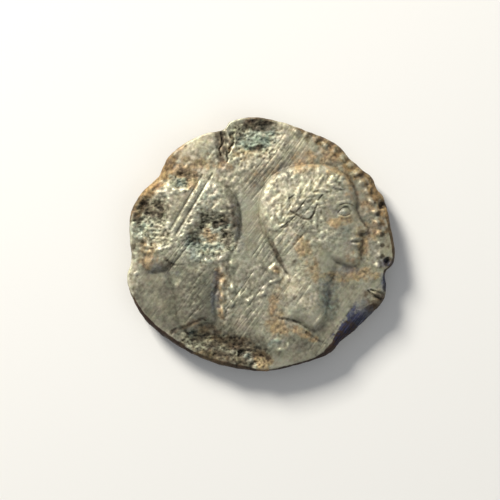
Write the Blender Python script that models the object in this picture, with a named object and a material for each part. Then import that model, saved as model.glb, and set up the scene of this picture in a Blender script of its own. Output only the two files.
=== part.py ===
"""An ancient cast and struck bronze coin, lying with its portraits up.

Two heads stand back to back on the obverse: a laurelled one facing +X and a worn one facing -X.
Metres, +Z up. The origin is the middle of the flan at the level that the coin rests on.
Places on the coin's two faces are shares of the flan's radius, so that the design grows with the flan.
Places on a head are shares of the head's own height: forward, then up.
"""
import math
import random

import bmesh
import bpy
import numpy as np

# Driving sizes, in metres
FLAN_RADIUS = 0.0132
FIELD_THICKNESS = 0.0027
EDGE_THINNING = 0.00035
GIRTH_HEIGHT = 0.0012
RIGHT_HEAD_HEIGHT = 0.0104
LEFT_HEAD_HEIGHT = 0.0098
RIGHT_HEAD_RELIEF = 0.00078
LEFT_HEAD_RELIEF = 0.00066
LOCK_SPACING = 0.00088
BORDER_INSET = 0.0015
BEAD_RADIUS = 0.00042
BEAD_SPACING = 0.00106
BEAD_RELIEF = 0.00026
MARK_RELIEF = 0.00014
HOLLOW_DEPTH = 0.00042
GOUGE_WIDTH = 0.00032
GOUGE_DEPTH = 0.00015
CRACK_WIDTH = 0.00022
CRACK_DEPTH = 0.0004
REVERSE_RELIEF = 0.00028
REVERSE_SLOPE = 0.0009
ALTAR_HEIGHT = 0.0128
STROKE_LENGTH = 0.0014
STROKE_WIDTH = 0.00026
STROKE_SPACING = 0.0014

# The mesh before it is thinned, what it is thinned to, and how far that may shift a flat point, in metres
CELLS_ACROSS = 170
EDGE_RINGS = 10
MOST_TRIANGLES = 9000
THINNING_SHIFT = 0.00003

# The flan's silhouette: degrees from +X, radius
SILHOUETTE = (
    (0, 1.002), (8, 0.985), (21, 0.989), (26, 0.970), (31, 0.975), (36, 0.952), (44, 0.930),
    (52, 0.948), (60, 0.932), (72, 0.923), (84, 0.943), (94, 0.962), (104, 0.957), (107, 0.920),
    (110, 0.912), (117, 0.938), (130, 0.962), (138, 0.962), (146, 0.932), (149, 0.940), (158, 0.990),
    (167, 1.015), (176, 0.998), (185, 0.984), (189, 1.000), (193, 1.040), (200, 1.055), (212, 1.047),
    (223, 1.015), (236, 0.982), (250, 0.962), (262, 0.954), (270, 0.960), (286, 0.950), (297, 0.964),
    (304, 0.969), (310, 0.948), (320, 0.964), (329, 0.990), (336, 1.014), (341, 0.998), (345, 0.966),
    (348, 0.964), (351, 1.000), (354, 1.012))

# How far inside the silhouette the obverse stops: degrees, share of the radius
OBVERSE_SLOPE = (
    (0, 0.030), (20, 0.035), (38, 0.048), (55, 0.040), (75, 0.020), (95, 0.014), (115, 0.014),
    (134, 0.024), (145, 0.042), (162, 0.032), (182, 0.020), (200, 0.022), (216, 0.040), (236, 0.048),
    (256, 0.042), (276, 0.040), (292, 0.034), (301, 0.055), (310, 0.090), (321, 0.125), (333, 0.065),
    (345, 0.032))

HEAD_LINE = (
    (0.02, 0.50), (0.20, 0.475), (0.34, 0.38), (0.415, 0.25), (0.44, 0.13), (0.425, 0.055),
    (0.452, -0.02), (0.495, -0.10), (0.532, -0.158), (0.505, -0.188), (0.457, -0.198),
    (0.474, -0.236), (0.452, -0.262), (0.466, -0.298), (0.436, -0.335), (0.454, -0.395),
    (0.430, -0.462), (0.36, -0.498), (0.25, -0.462), (0.12, -0.385), (0.02, -0.285),
    (-0.045, -0.17), (-0.12, -0.24), (-0.22, -0.38), (-0.31, -0.44), (-0.385, -0.34),
    (-0.455, -0.17), (-0.50, 0.03), (-0.475, 0.22), (-0.36, 0.385), (-0.18, 0.475))
NECK_LINE = (
    (-0.36, -0.20), (-0.325, -0.45), (-0.275, -0.70), (-0.295, -0.90), (-0.285, -0.965),
    (-0.17, -0.99), (-0.08, -1.06), (-0.015, -1.085), (0.05, -1.03), (0.095, -0.93),
    (0.115, -0.78), (0.145, -0.64), (0.20, -0.50), (0.20, -0.25), (0.0, -0.10))
NECK_AXIS = ((-0.05, -0.15), (-0.07, -0.60), (-0.10, -1.06))
HAIR_LINE = (
    (0.02, 0.54), (0.22, 0.51), (0.37, 0.40), (0.415, 0.29), (0.36, 0.235), (0.28, 0.20),
    (0.215, 0.12), (0.155, 0.05), (0.115, -0.06), (0.07, -0.10), (0.06, 0.02), (-0.01, 0.075),
    (-0.09, 0.03), (-0.12, -0.07), (-0.10, -0.16), (-0.15, -0.26), (-0.25, -0.40), (-0.33, -0.47),
    (-0.43, -0.34), (-0.50, -0.17), (-0.55, 0.03), (-0.52, 0.24), (-0.39, 0.42), (-0.19, 0.52))
WREATH_LINE = ((0.37, 0.35), (0.27, 0.315), (0.14, 0.29), (0.01, 0.245), (-0.11, 0.175),
               (-0.21, 0.09), (-0.30, -0.01), (-0.39, -0.11))
LEAF_PAIRS = 9
LEAF_LENGTH = 0.15
LEAF_WIDTH = 0.040
RIBBONS = (((-0.42, -0.12), (-0.49, -0.24), (-0.48, -0.38), (-0.41, -0.49)),
           ((-0.41, -0.14), (-0.44, -0.27), (-0.38, -0.40), (-0.37, -0.62), (-0.33, -0.74)))
WHORL = (-0.10, 0.20)

# Centre, radii, turn in degrees, height as a share of the head's relief
FACE_MOUNDS = (
    ((0.23, -0.115), (0.20, 0.17), -20, 0.13),
    ((0.30, 0.045), (0.12, 0.075), -8, -0.27),
    ((0.315, 0.035), (0.052, 0.040), 0, 0.24),
    ((0.435, -0.165), (0.050, 0.040), 20, 0.16),
    ((0.36, -0.17), (0.05, 0.12), -25, -0.10),
    ((0.405, -0.405), (0.075, 0.070), 0, 0.15),
    ((0.41, -0.335), (0.07, 0.030), 5, -0.12),
    ((0.10, -0.27), (0.15, 0.12), 40, 0.05),
    ((-0.015, -0.035), (0.075, 0.115), -10, 0.16),
    ((-0.005, -0.04), (0.035, 0.065), -10, -0.20),
    ((0.30, 0.18), (0.16, 0.10), 15, 0.05),
)
# Line, half width at its start and at its end, height as a share of the head's relief
FACE_STROKES = (
    (((0.425, 0.085), (0.36, 0.115), (0.28, 0.105), (0.22, 0.065)), 0.035, 0.020, 0.12),
    (((0.365, 0.035), (0.325, 0.072), (0.27, 0.045)), 0.017, 0.014, 0.12),
    (((0.43, 0.05), (0.47, -0.05), (0.515, -0.15)), 0.035, 0.045, 0.10),
    (((0.47, -0.232), (0.42, -0.232), (0.375, -0.25)), 0.026, 0.016, 0.13),
    (((0.465, -0.298), (0.42, -0.296), (0.385, -0.28)), 0.027, 0.016, 0.13),
    (((0.475, -0.264), (0.42, -0.266), (0.365, -0.266)), 0.014, 0.010, -0.22),
)

# The round of the cranium and of the cheeks: centre, radii, turn in degrees, height
ROUND_FORMS = (
    ((-0.04, 0.08), (0.55, 0.50), 0, 0.52),
    ((0.17, -0.13), (0.42, 0.45), 20, 0.46),
)
# Heights as shares of a head's relief, and the width of the shoulder at its outline
OUTLINE_RISE = 0.34
OUTLINE_ROUND = 0.045
NECK_RISE = 0.26
NECK_ROUND = 0.24
LOCK_RISE = 0.16
LEAF_RISE = 0.24
RIBBON_RISE = 0.34
RIBBON_WIDTH = 0.032

# Middle of the head on the coin, which way it looks along X, its tilt in degrees, how crisp it still is
RIGHT_HEAD = ((0.375, 0.212), 1, 3, 1.0)
LEFT_HEAD = ((-0.530, 0.144), -1, 3, 0.7)

# Corroded hollows: centre, radii, turn in degrees, share of HOLLOW_DEPTH
HOLLOWS = (
    ((-0.375, 0.068), (0.185, 0.180), 0, 1.0),
    ((-0.840, 0.225), (0.150, 0.175), 20, 0.95),
    ((-0.785, 0.055), (0.115, 0.085), -20, 0.5),
    ((-0.605, 0.480), (0.085, 0.070), 0, 0.5),
    ((-0.035, 0.800), (0.200, 0.165), 0, 0.95),
    ((-0.370, -0.765), (0.290, 0.110), -8, 0.85),
    ((-0.090, -0.850), (0.130, 0.090), -20, 0.65),
)
# Long gouges across the left head, and cracks that run in from the edge: start, end
GOUGES = (((-0.663, 0.091), (-0.420, 0.508)), ((-0.633, 0.068), (-0.367, 0.530)))
CRACKS = (((-0.285, 0.960), (-0.300, 0.840), (-0.307, 0.645)),
          ((0.960, -0.430), (0.860, -0.394), (0.810, -0.350)))
# Worn ribbons, letters and swellings: centre, radii, turn in degrees, share of MARK_RELIEF
MARKS = (
    ((-0.460, 0.740), (0.190, 0.110), 35, 0.9), ((0.560, 0.700), (0.160, 0.070), -35, 0.8),
    ((-0.300, -0.200), (0.030, 0.055), 15, 1.6), ((-0.305, -0.300), (0.026, 0.060), -5, 1.5),
    ((-0.295, -0.400), (0.024, 0.060), 0, 1.3), ((-0.292, -0.500), (0.022, 0.055), 0, 1.1),
    ((-0.215, -0.330), (0.030, 0.045), 20, 1.5), ((-0.225, -0.440), (0.030, 0.040), 0, 1.3),
    ((0.105, -0.205), (0.050, 0.035), 10, 1.5), ((0.030, -0.330), (0.040, 0.030), 40, 1.2),
    ((-0.060, -0.400), (0.040, 0.030), 30, 1.3), ((0.130, -0.720), (0.045, 0.018), 5, 1.4),
    ((0.145, -0.790), (0.045, 0.016), 0, 1.3), ((0.200, -0.755), (0.018, 0.045), 0, 1.0),
)
BORDER_ARC = (73, -13)

# The altar on the reverse: corners of its steps, body and slab, as shares of its own height
ALTAR_BLOCKS = (((-0.36, -0.50), (0.36, -0.38)), ((-0.29, -0.40), (0.29, -0.31)),
                ((-0.23, -0.33), (0.23, 0.16)), ((-0.31, 0.14), (0.31, 0.26)))
ALTAR_FLAMES = (((0.0, 0.24), (0.03, 0.36), (0.0, 0.50)), ((-0.15, 0.24), (-0.14, 0.33), (-0.18, 0.42)),
                ((0.15, 0.24), (0.17, 0.33), (0.14, 0.42)))
STROKE_ARCS = ((125, 232), (-52, 55))
STROKE_LEANS = (1.2, 2.4, 1.6, 2.8)
STROKE_SHARES = (1, 0.8, 0.6)
# Heights of the reverse's forms before wear cut them all to 1, which is the resting level
ALTAR_RISE = 1.5
STROKE_RISE = 0.8
BORDER_RISE = 2
SCALLOP_RISE = 0.25


def smooth_step(low, high, value):
    """0 below low, 1 above high, and an S-curve between."""
    share = np.clip((value - low) / (high - low), 0, 1)
    return share * share * (3 - 2 * share)


def spline(points, closed, steps=5):
    """A smooth line through points."""
    nodes = np.array(points, float)
    before, after, beyond = (np.roll(nodes, shift, axis=0) for shift in (1, -1, -2))
    if not closed:
        before[0], after[-1], beyond[-2:] = nodes[0], nodes[-1], nodes[-1]
    share = np.arange(steps)[:, None, None] / steps
    line = 0.5 * (2 * nodes + (after - before) * share
                  + (2 * before - 5 * nodes + 4 * after - beyond) * share ** 2
                  + (3 * nodes - before - 3 * after + beyond) * share ** 3)
    line = line.transpose(1, 0, 2).reshape(-1, 2)
    return line if closed else line[:1 - steps or None]


def around(table, angle):
    """A smooth value round the coin, through the table's (degrees, value) pairs."""
    degrees, values = np.array(table, float).T
    degrees = np.concatenate([degrees - 360, degrees, degrees + 360])
    values = np.tile(values, 3)
    angle = np.degrees(angle) % 360
    k = np.searchsorted(degrees, angle, side="right") - 1
    gap = degrees[k + 1] - degrees[k]
    share = (angle - degrees[k]) / gap
    leaving = (values[k + 1] - values[k - 1]) / (degrees[k + 1] - degrees[k - 1]) * gap
    arriving = (values[k + 2] - values[k]) / (degrees[k + 2] - degrees[k]) * gap
    return ((2 * share ** 3 - 3 * share ** 2 + 1) * values[k]
            + (share ** 3 - 2 * share ** 2 + share) * leaving
            + (3 * share ** 2 - 2 * share ** 3) * values[k + 1]
            + (share ** 3 - share ** 2) * arriving)


def depth_inside(x, y, line):
    """Distance to a closed line, positive inside it."""
    nearest = np.full(x.shape, np.inf)
    inside = np.zeros(x.shape, bool)
    for (ax, ay), (bx, by) in zip(line, np.roll(line, -1, axis=0)):
        run, rise = bx - ax, by - ay
        share = np.clip(((x - ax) * run + (y - ay) * rise) / (run ** 2 + rise ** 2), 0, 1)
        nearest = np.minimum(nearest, (x - ax - share * run) ** 2 + (y - ay - share * rise) ** 2)
        if rise:
            inside ^= ((ay > y) != (by > y)) & (x < run * (y - ay) / rise + ax)
    return np.where(inside, 1, -1) * np.sqrt(nearest)


def stroke(x, y, line, start_width, end_width=None):
    """A ridge along an open line: 1 on its crest and 0 past its half width."""
    line = np.array(line, float)
    end_width = end_width or start_width
    reach = max(start_width, end_width)
    low, high = line.min(axis=0) - reach, line.max(axis=0) + reach
    near = (x > low[0]) & (x < high[0]) & (y > low[1]) & (y < high[1])
    ridge = np.zeros(x.shape)
    px, py = x[near], y[near]
    crest = np.zeros(px.shape)
    steps = len(line) - 1
    for k in range(steps):
        (ax, ay), (bx, by) = line[k], line[k + 1]
        run, rise = bx - ax, by - ay
        share = np.clip(((px - ax) * run + (py - ay) * rise) / (run ** 2 + rise ** 2), 0, 1)
        width = start_width + (end_width - start_width) * (k + share) / steps
        off = np.hypot(px - ax - share * run, py - ay - share * rise) / width
        crest = np.maximum(crest, 1 - off ** 2)
    ridge[near] = crest
    return ridge


def elliptic(x, y, centre, radii, turn):
    """Distance from centre, counted in radii."""
    cos, sin = math.cos(math.radians(turn)), math.sin(math.radians(turn))
    dx, dy = x - centre[0], y - centre[1]
    return np.hypot((dx * cos + dy * sin) / radii[0], (dy * cos - dx * sin) / radii[1])


def mound(x, y, centre, radii, turn=0):
    """1 at centre, falling smoothly to 0 at the radii."""
    return np.clip(1 - elliptic(x, y, centre, radii, turn) ** 2, 0, 1) ** 2


def dome(depth, width):
    """A quarter-round shoulder, as wide as width, inside an outline."""
    return np.sqrt(1 - (1 - np.clip(depth / width, 0, 1)) ** 2)


def hair_locks(a, b, spacing, seed):
    """Short curved locks in rings round the whorl."""
    chance = random.Random(seed)
    locks = np.zeros(a.shape)
    row = 0
    ring = spacing
    while ring < 0.68:
        count = int(2 * math.pi * ring / spacing)
        for k in range(count):
            turn = 2 * math.pi * (k + row / 2 % 1 + chance.uniform(-0.2, 0.2)) / count
            length = chance.uniform(1.2, 1.8) * spacing
            line = []
            for share in (0, 0.25, 0.5, 0.75, 1):
                out = ring + length * (share - 0.5)
                swirl = turn + 0.05 * share ** 2 / ring
                line.append((WHORL[0] + out * math.cos(swirl), WHORL[1] + out * math.sin(swirl)))
            crest = stroke(a, b, line, 0.42 * spacing, 0.14 * spacing)
            locks = np.maximum(locks, crest * chance.uniform(0.75, 1))
        ring += spacing
        row += 1
    return locks


def laurel_leaves(a, b):
    """Pairs of pointed leaves along the wreath, their tips towards the forehead."""
    leaves = np.zeros(a.shape)
    line = spline(WREATH_LINE, closed=False)
    for k in range(LEAF_PAIRS):
        place = 1 + round(k * (len(line) - 2) / (LEAF_PAIRS - 1))
        root, before = line[place], line[place - 1]
        heading = math.atan2(before[1] - root[1], before[0] - root[0])
        for side in (-1, 1):
            turn = heading + side * math.radians(30)
            reach = LEAF_LENGTH * np.array((math.cos(turn), math.sin(turn)))
            middle, tip = root + 0.45 * reach, root + reach
            leaves = np.maximum(leaves, stroke(a, b, (root, middle), 0.3 * LEAF_WIDTH, LEAF_WIDTH))
            leaves = np.maximum(leaves, stroke(a, b, (middle, tip), LEAF_WIDTH, 0.2 * LEAF_WIDTH))
    return leaves


def portrait(u, v, head, height, laurelled, seed):
    """A head and neck in profile: 0 on the field, about 1 at its highest."""
    (across, up), facing, tilt, crispness = head
    size = height / FLAN_RADIUS
    cos, sin = math.cos(math.radians(tilt)), math.sin(math.radians(tilt))
    dx, dy = facing * (u - across) / size, (v - up) / size
    a, b = dx * cos + dy * sin, dy * cos - dx * sin
    skull = depth_inside(a, b, spline(HEAD_LINE, closed=True))
    neck = depth_inside(a, b, spline(NECK_LINE, closed=True))
    hair = depth_inside(a, b, spline(HAIR_LINE, closed=True))
    face = np.zeros(a.shape)
    for centre, radii, turn, rise in FACE_MOUNDS:
        face += rise * mound(a, b, centre, radii, turn)
    for line, start_width, end_width, rise in FACE_STROKES:
        face += rise * stroke(a, b, spline(line, closed=False), start_width, end_width)
    rounds = np.zeros(a.shape)
    for centre, radii, turn, rise in ROUND_FORMS:
        rounds += (rise ** 2 * np.clip(1 - elliptic(a, b, centre, radii, turn) ** 2, 0, 1)) ** 2
    head_form = dome(skull, OUTLINE_ROUND) * (OUTLINE_RISE + rounds ** 0.25)
    head_form += crispness * face * smooth_step(0, 0.03, skull)
    neck_form = dome(neck, OUTLINE_ROUND) * (NECK_RISE + NECK_ROUND * stroke(a, b, NECK_AXIS, 0.34, 0.26))
    combed = smooth_step(0, 0.025, hair) * smooth_step(-0.005, 0.02, skull)
    if laurelled:
        leaves = laurel_leaves(a, b)
        head_form += LEAF_RISE * leaves * smooth_step(0, 0.02, skull)
        combed *= 1 - smooth_step(0.0, 0.3, leaves)
        for line in RIBBONS:
            ribbon = stroke(a, b, spline(line, closed=False), RIBBON_WIDTH)
            neck_form = np.maximum(neck_form, RIBBON_RISE * ribbon)
    head_form += crispness * combed * LOCK_RISE * hair_locks(a, b, LOCK_SPACING / height, seed)
    return np.maximum(head_form, neck_form)


def beads(u, v, first, last, ring):
    """A dotted border from one angle down to another."""
    dots = np.zeros(u.shape)
    radius = BEAD_RADIUS / FLAN_RADIUS
    step = math.degrees(BEAD_SPACING / FLAN_RADIUS / ring)
    for degrees in np.arange(first, last, -step):
        turn = math.radians(degrees)
        dots += mound(u, v, (ring * math.cos(turn), ring * math.sin(turn)), (radius, radius))
    return dots


def hollow(u, v, centre, radii, turn, raggedness):
    """A corroded hollow with a ragged outline: 1 on its floor, 0 outside it."""
    bearing = np.arctan2(v - centre[1], u - centre[0])
    ragged = 1 + 0.10 * np.sin(3 * bearing + 2 * raggedness) + 0.06 * np.sin(5 * bearing + raggedness)
    return smooth_step(1.06, 0.66, elliptic(u, v, centre, radii, turn) * ragged)


def obverse(u, v):
    """Height of the obverse above the resting level."""
    height = FIELD_THICKNESS - EDGE_THINNING * np.hypot(u, v) ** 2.5
    height += RIGHT_HEAD_RELIEF * portrait(u, v, RIGHT_HEAD, RIGHT_HEAD_HEIGHT, True, 3)
    height += LEFT_HEAD_RELIEF * portrait(u, v, LEFT_HEAD, LEFT_HEAD_HEIGHT, False, 8)
    height += BEAD_RELIEF * beads(u, v, *BORDER_ARC, 1 - BORDER_INSET / FLAN_RADIUS)
    for centre, radii, turn, share in MARKS:
        height += MARK_RELIEF * share * mound(u, v, centre, radii, turn)
    gouge, crack = GOUGE_WIDTH / FLAN_RADIUS / 2, CRACK_WIDTH / FLAN_RADIUS / 2
    for line in GOUGES:
        height -= GOUGE_DEPTH * stroke(u, v, line, gouge, 0.7 * gouge)
    for line in CRACKS:
        height -= CRACK_DEPTH * stroke(u, v, line, 2 * crack, crack)
    for k, (centre, radii, turn, share) in enumerate(HOLLOWS):
        sunk = hollow(u, v, centre, radii, turn, k)
        height -= sunk * (HOLLOW_DEPTH * share + 0.5 * (height - FIELD_THICKNESS))
    return height


def reverse(u, v):
    """Height of the worn reverse above the resting level, where altar and border are rubbed flat."""
    size = ALTAR_HEIGHT / FLAN_RADIUS
    x, y = u / size, v / size
    relief = np.zeros(u.shape)
    for (left, low), (right, high) in ALTAR_BLOCKS:
        block = depth_inside(x, y, ((left, low), (right, low), (right, high), (left, high)))
        relief = np.maximum(relief, ALTAR_RISE * smooth_step(-0.02, 0.03, block))
    for line in ALTAR_FLAMES:
        relief = np.maximum(relief, ALTAR_RISE * stroke(x, y, line, 0.055, 0.020))
    bead = BEAD_RADIUS / FLAN_RADIUS
    ring = 1 - (BORDER_INSET + REVERSE_SLOPE) / FLAN_RADIUS
    length, width = STROKE_LENGTH / FLAN_RADIUS, STROKE_WIDTH / FLAN_RADIUS / 2
    inner = ring - 2 * bead - length
    step = math.degrees(STROKE_SPACING / FLAN_RADIUS / inner)
    for first, last in STROKE_ARCS:
        for k, degrees in enumerate(np.arange(first, last, step)):
            turn, lean = math.radians(degrees), math.radians(degrees + STROKE_LEANS[k % len(STROKE_LEANS)])
            outer = inner + length * STROKE_SHARES[k % len(STROKE_SHARES)]
            line = ((inner * math.cos(turn), inner * math.sin(turn)),
                    (outer * math.cos(lean), outer * math.sin(lean)))
            relief = np.maximum(relief, STROKE_RISE * stroke(u, v, line, width))
    scallops = round(2 * math.pi * ring * FLAN_RADIUS / BEAD_SPACING)
    scallop = SCALLOP_RISE * np.cos(scallops * np.arctan2(v, u))
    relief = np.maximum(relief, BORDER_RISE + scallop - np.abs(np.hypot(u, v) - ring) / bead)
    fall = 0.3 * EDGE_THINNING * np.hypot(u, v) ** 4
    return (REVERSE_RELIEF + fall) * (1 - np.clip(relief, 0, 1))


def square_to_disc(x, y):
    """Radius and angle on a unit disc for a point of the square from -1 to 1."""
    wide = np.abs(x) >= np.abs(y)
    radius = np.maximum(np.abs(x), np.abs(y))
    longer = np.where(radius == 0, 1, np.where(wide, x, y))
    angle = math.pi / 4 * np.where(wide, y / longer, 2 - x / longer)
    return radius, np.where(longer < 0, angle + math.pi, angle)


def blank():
    """A cube with gridded faces, which strike() turns into the coin."""
    cube = bmesh.new()
    bmesh.ops.create_cube(cube, size=2)
    level = [edge for edge in cube.edges if edge.verts[0].co.z == edge.verts[1].co.z]
    bmesh.ops.subdivide_edges(cube, edges=level, cuts=CELLS_ACROSS - 1, use_grid_fill=True)
    upright = [edge for edge in cube.edges if edge.verts[0].co.z != edge.verts[1].co.z]
    bmesh.ops.subdivide_edges(cube, edges=upright, cuts=EDGE_RINGS - 1, use_grid_fill=True)
    mesh = bpy.data.meshes.new("coin")
    cube.to_mesh(mesh)
    cube.free()
    return mesh


def strike(mesh):
    """Moves the cube's points to the flan's outline and the two faces' relief."""
    points = np.empty(len(mesh.vertices) * 3)
    mesh.vertices.foreach_get("co", points)
    x, y, z = points.reshape(-1, 3).T
    radius, angle = square_to_disc(x, y)
    silhouette = around(SILHOUETTE, angle)
    rims = (silhouette - around(OBVERSE_SLOPE, angle), silhouette - REVERSE_SLOPE / FLAN_RADIUS)
    level = np.empty(len(x))
    reach = np.empty(len(x))
    for side, rim, face in ((1, rims[0], obverse), (-1, rims[1], reverse)):
        here = z * side >= 0
        down = math.pi / 2 * (1 - np.abs(z[here]))
        inner = radius[here] * rim[here]
        face_level = face(inner * np.cos(angle[here]), inner * np.sin(angle[here]))
        reach[here] = inner + (silhouette[here] - rim[here]) * np.sin(down) ** 0.8
        level[here] = GIRTH_HEIGHT + (face_level - GIRTH_HEIGHT) * np.cos(down) ** 0.8
    points = np.stack([reach * np.cos(angle), reach * np.sin(angle)], axis=1) * FLAN_RADIUS
    points -= (points.min(axis=0) + points.max(axis=0)) / 2
    mesh.vertices.foreach_set("co", np.column_stack([points, level]).ravel())
    mesh.update()


def flatten(mesh):
    """Puts the points that the coin rests on exactly at the resting level."""
    for point in mesh.vertices:
        if abs(point.co.z) < THINNING_SHIFT:
            point.co.z = 0


def bronze():
    """Worn bronze under a grey-green patina."""
    material = bpy.data.materials.new("patinated_bronze")
    material.use_nodes = True
    shader = material.node_tree.nodes["Principled BSDF"]
    shader.inputs["Base Color"].default_value = (0.28, 0.26, 0.19, 1)
    shader.inputs["Metallic"].default_value = 0.6
    shader.inputs["Roughness"].default_value = 0.45
    return material


def main():
    for thing in list(bpy.data.objects):
        bpy.data.objects.remove(thing)
    mesh = blank()
    strike(mesh)
    mesh.materials.append(bronze())
    mesh.shade_smooth()
    coin = bpy.data.objects.new("coin", mesh)
    bpy.context.scene.collection.objects.link(coin)
    bpy.context.view_layer.objects.active = coin
    thin = coin.modifiers.new("thin", "DECIMATE")
    thin.ratio = MOST_TRIANGLES / (2 * len(mesh.polygons))
    bpy.ops.object.modifier_apply(modifier=thin.name)
    flatten(mesh)


main()
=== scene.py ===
"""The worn, corroded look of an ancient bronze coin, as one fine piece that stands for its solid.

Metres, +Z up. Places on the coin's two faces are shares of the flan's radius, from its middle.
Places on a head are shares of the head's own height: forward, then up. An ellipse is written as its
centre, its two radii and its turn in degrees. Angles round the coin are degrees from +X.
"""
import math
import random

import bmesh
import bpy
import numpy as np
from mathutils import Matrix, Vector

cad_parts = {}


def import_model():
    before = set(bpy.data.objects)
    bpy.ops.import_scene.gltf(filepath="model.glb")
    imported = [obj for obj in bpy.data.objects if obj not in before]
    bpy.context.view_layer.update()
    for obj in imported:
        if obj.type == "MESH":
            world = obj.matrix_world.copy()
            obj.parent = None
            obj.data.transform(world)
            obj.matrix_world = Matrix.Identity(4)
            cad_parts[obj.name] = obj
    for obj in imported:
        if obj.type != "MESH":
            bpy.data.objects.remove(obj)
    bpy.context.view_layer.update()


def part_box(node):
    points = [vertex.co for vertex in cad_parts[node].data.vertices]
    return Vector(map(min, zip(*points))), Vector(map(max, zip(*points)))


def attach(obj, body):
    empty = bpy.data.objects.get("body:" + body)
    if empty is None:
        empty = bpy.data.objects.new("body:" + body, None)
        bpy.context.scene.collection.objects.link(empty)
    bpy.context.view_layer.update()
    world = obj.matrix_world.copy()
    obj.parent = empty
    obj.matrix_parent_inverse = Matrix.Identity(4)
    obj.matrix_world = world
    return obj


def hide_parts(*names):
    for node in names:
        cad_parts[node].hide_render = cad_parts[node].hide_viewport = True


# Sizes of the struck coin, in metres, as in its solid
FIELD_THICKNESS = 0.0027
EDGE_THINNING = 0.00035
GIRTH_HEIGHT = 0.0012
RIGHT_HEAD_HEIGHT = 0.0104
LEFT_HEAD_HEIGHT = 0.0098
RIGHT_HEAD_RELIEF = 0.00078
LEFT_HEAD_RELIEF = 0.00066
LOCK_SPACING = 0.00088
BORDER_INSET = 0.0015
BEAD_RADIUS = 0.00042
BEAD_SPACING = 0.00106
BEAD_RELIEF = 0.00026
MARK_RELIEF = 0.00014
HOLLOW_DEPTH = 0.00042
GOUGE_WIDTH = 0.00032
GOUGE_DEPTH = 0.0000975
CRACK_WIDTH = 0.00022
CRACK_DEPTH = 0.00028
GROOVE_DEPTH = 0.00005
CUT_DEPTH = 0.00004
EDGE_CRUMBLE = 0.00007
EDGE_LEAN = 0.0012
REVERSE_RELIEF = 0.00028
REVERSE_THINNING = 0.000105
REVERSE_SLOPE = 0.0009
ALTAR_HEIGHT = 0.0128
STROKE_LENGTH = 0.0014
STROKE_WIDTH = 0.00026
STROKE_SPACING = 0.0014

# Sizes of the finer relief, in metres
SWELL_SIZE = 0.0034
SWELL_DEPTH = 0.00008
PITTING_SIZE = 0.0009
PITTING_DEPTH = 0.000016
GRAIN_SIZE = 0.00036
GRAIN_DEPTH = 0.00009
CRYSTAL_SIZE = 0.00062
CRYSTAL_DEPTH = 0.00032
CRUST_SIZE = 0.00056
CRUST_DEPTH = 0.00007
STREAK_WIDTH = 0.00024
STREAK_LENGTH = 0.0032
STREAK_DEPTH = 0.000017
SCRATCH_WIDTH = 0.00016
SCRATCH_DEPTH = 0.000034
RECESS_UNIT = 0.0001

# The fine mesh: cells across the reverse, as two factors, and rings down the edge; the obverse has twice
# as many cells across
FACE_CELLS = (31, 4)
EDGE_RINGS = 12
# Smoothing: the neighbours' share, and its rounds for the die's wear and for the two masks of recesses
SMOOTHING = 0.6
WEAR_ROUNDS = 3
RECESS_ROUNDS = {"recess": 30, "fine_recess": 4}
# Powers: of the edge's round, below 1 for a fuller one, and of each face's fall towards the edge
EDGE_POWER = 0.8
EDGE_FALL = 2.5
REVERSE_FALL = 4

# Points per stretch of a smooth line, and the steps at which the silhouette is measured, in degrees
SPLINE_STEPS = 5
SILHOUETTE_STEP = 0.25
# The flan's silhouette: degrees, radius
SILHOUETTE = (
    (0, 1.002), (8, 0.985), (21, 0.989), (26, 0.97), (31, 0.975), (36, 0.952), (44, 0.93), (52, 0.948),
    (60, 0.932), (72, 0.923), (84, 0.943), (94, 0.962), (104, 0.957), (107, 0.92), (110, 0.912),
    (117, 0.938), (130, 0.962), (138, 0.962), (146, 0.932), (149, 0.94), (158, 0.99), (167, 1.015),
    (176, 0.998), (185, 0.984), (189, 1.0), (193, 1.04), (200, 1.055), (212, 1.047), (223, 1.015),
    (236, 0.982), (250, 0.962), (262, 0.954), (270, 0.96), (286, 0.95), (297, 0.964), (304, 0.969),
    (310, 0.948), (320, 0.964), (329, 0.99), (336, 1.014), (341, 0.998), (345, 0.966), (348, 0.964),
    (351, 1.0), (354, 1.012),
)
# How far inside the silhouette the obverse stops: degrees, share of the radius
OBVERSE_SLOPE = (
    (0, 0.03), (20, 0.035), (38, 0.048), (55, 0.04), (75, 0.02), (95, 0.014), (115, 0.014),
    (134, 0.024), (145, 0.042), (162, 0.032), (182, 0.02), (200, 0.022), (216, 0.04), (236, 0.048),
    (256, 0.042), (276, 0.04), (292, 0.034), (301, 0.055), (310, 0.09), (321, 0.125), (333, 0.065),
    (345, 0.032),
)

# The outlines of a head, its neck and its hair, and the lines of neck, wreath and ribbons
HEAD_LINE = (
    (0.02, 0.5), (0.2, 0.475), (0.34, 0.38), (0.415, 0.25), (0.44, 0.13), (0.425, 0.055),
    (0.452, -0.02), (0.495, -0.1), (0.532, -0.158), (0.505, -0.188), (0.457, -0.198), (0.474, -0.236),
    (0.452, -0.262), (0.466, -0.298), (0.436, -0.335), (0.454, -0.395), (0.43, -0.462), (0.36, -0.498),
    (0.25, -0.462), (0.12, -0.385), (0.02, -0.285), (-0.045, -0.17), (-0.12, -0.24), (-0.22, -0.38),
    (-0.31, -0.44), (-0.385, -0.34), (-0.455, -0.17), (-0.5, 0.03), (-0.475, 0.22), (-0.36, 0.385),
    (-0.18, 0.475),
)
NECK_LINE = (
    (-0.36, -0.2), (-0.325, -0.45), (-0.275, -0.7), (-0.295, -0.9), (-0.285, -0.965), (-0.17, -0.99),
    (-0.08, -1.06), (-0.015, -1.085), (0.05, -1.03), (0.095, -0.93), (0.115, -0.78), (0.145, -0.64),
    (0.2, -0.5), (0.2, -0.25), (0.0, -0.1),
)
NECK_AXIS = ((-0.05, -0.15), (-0.07, -0.6), (-0.1, -1.06))
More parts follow.
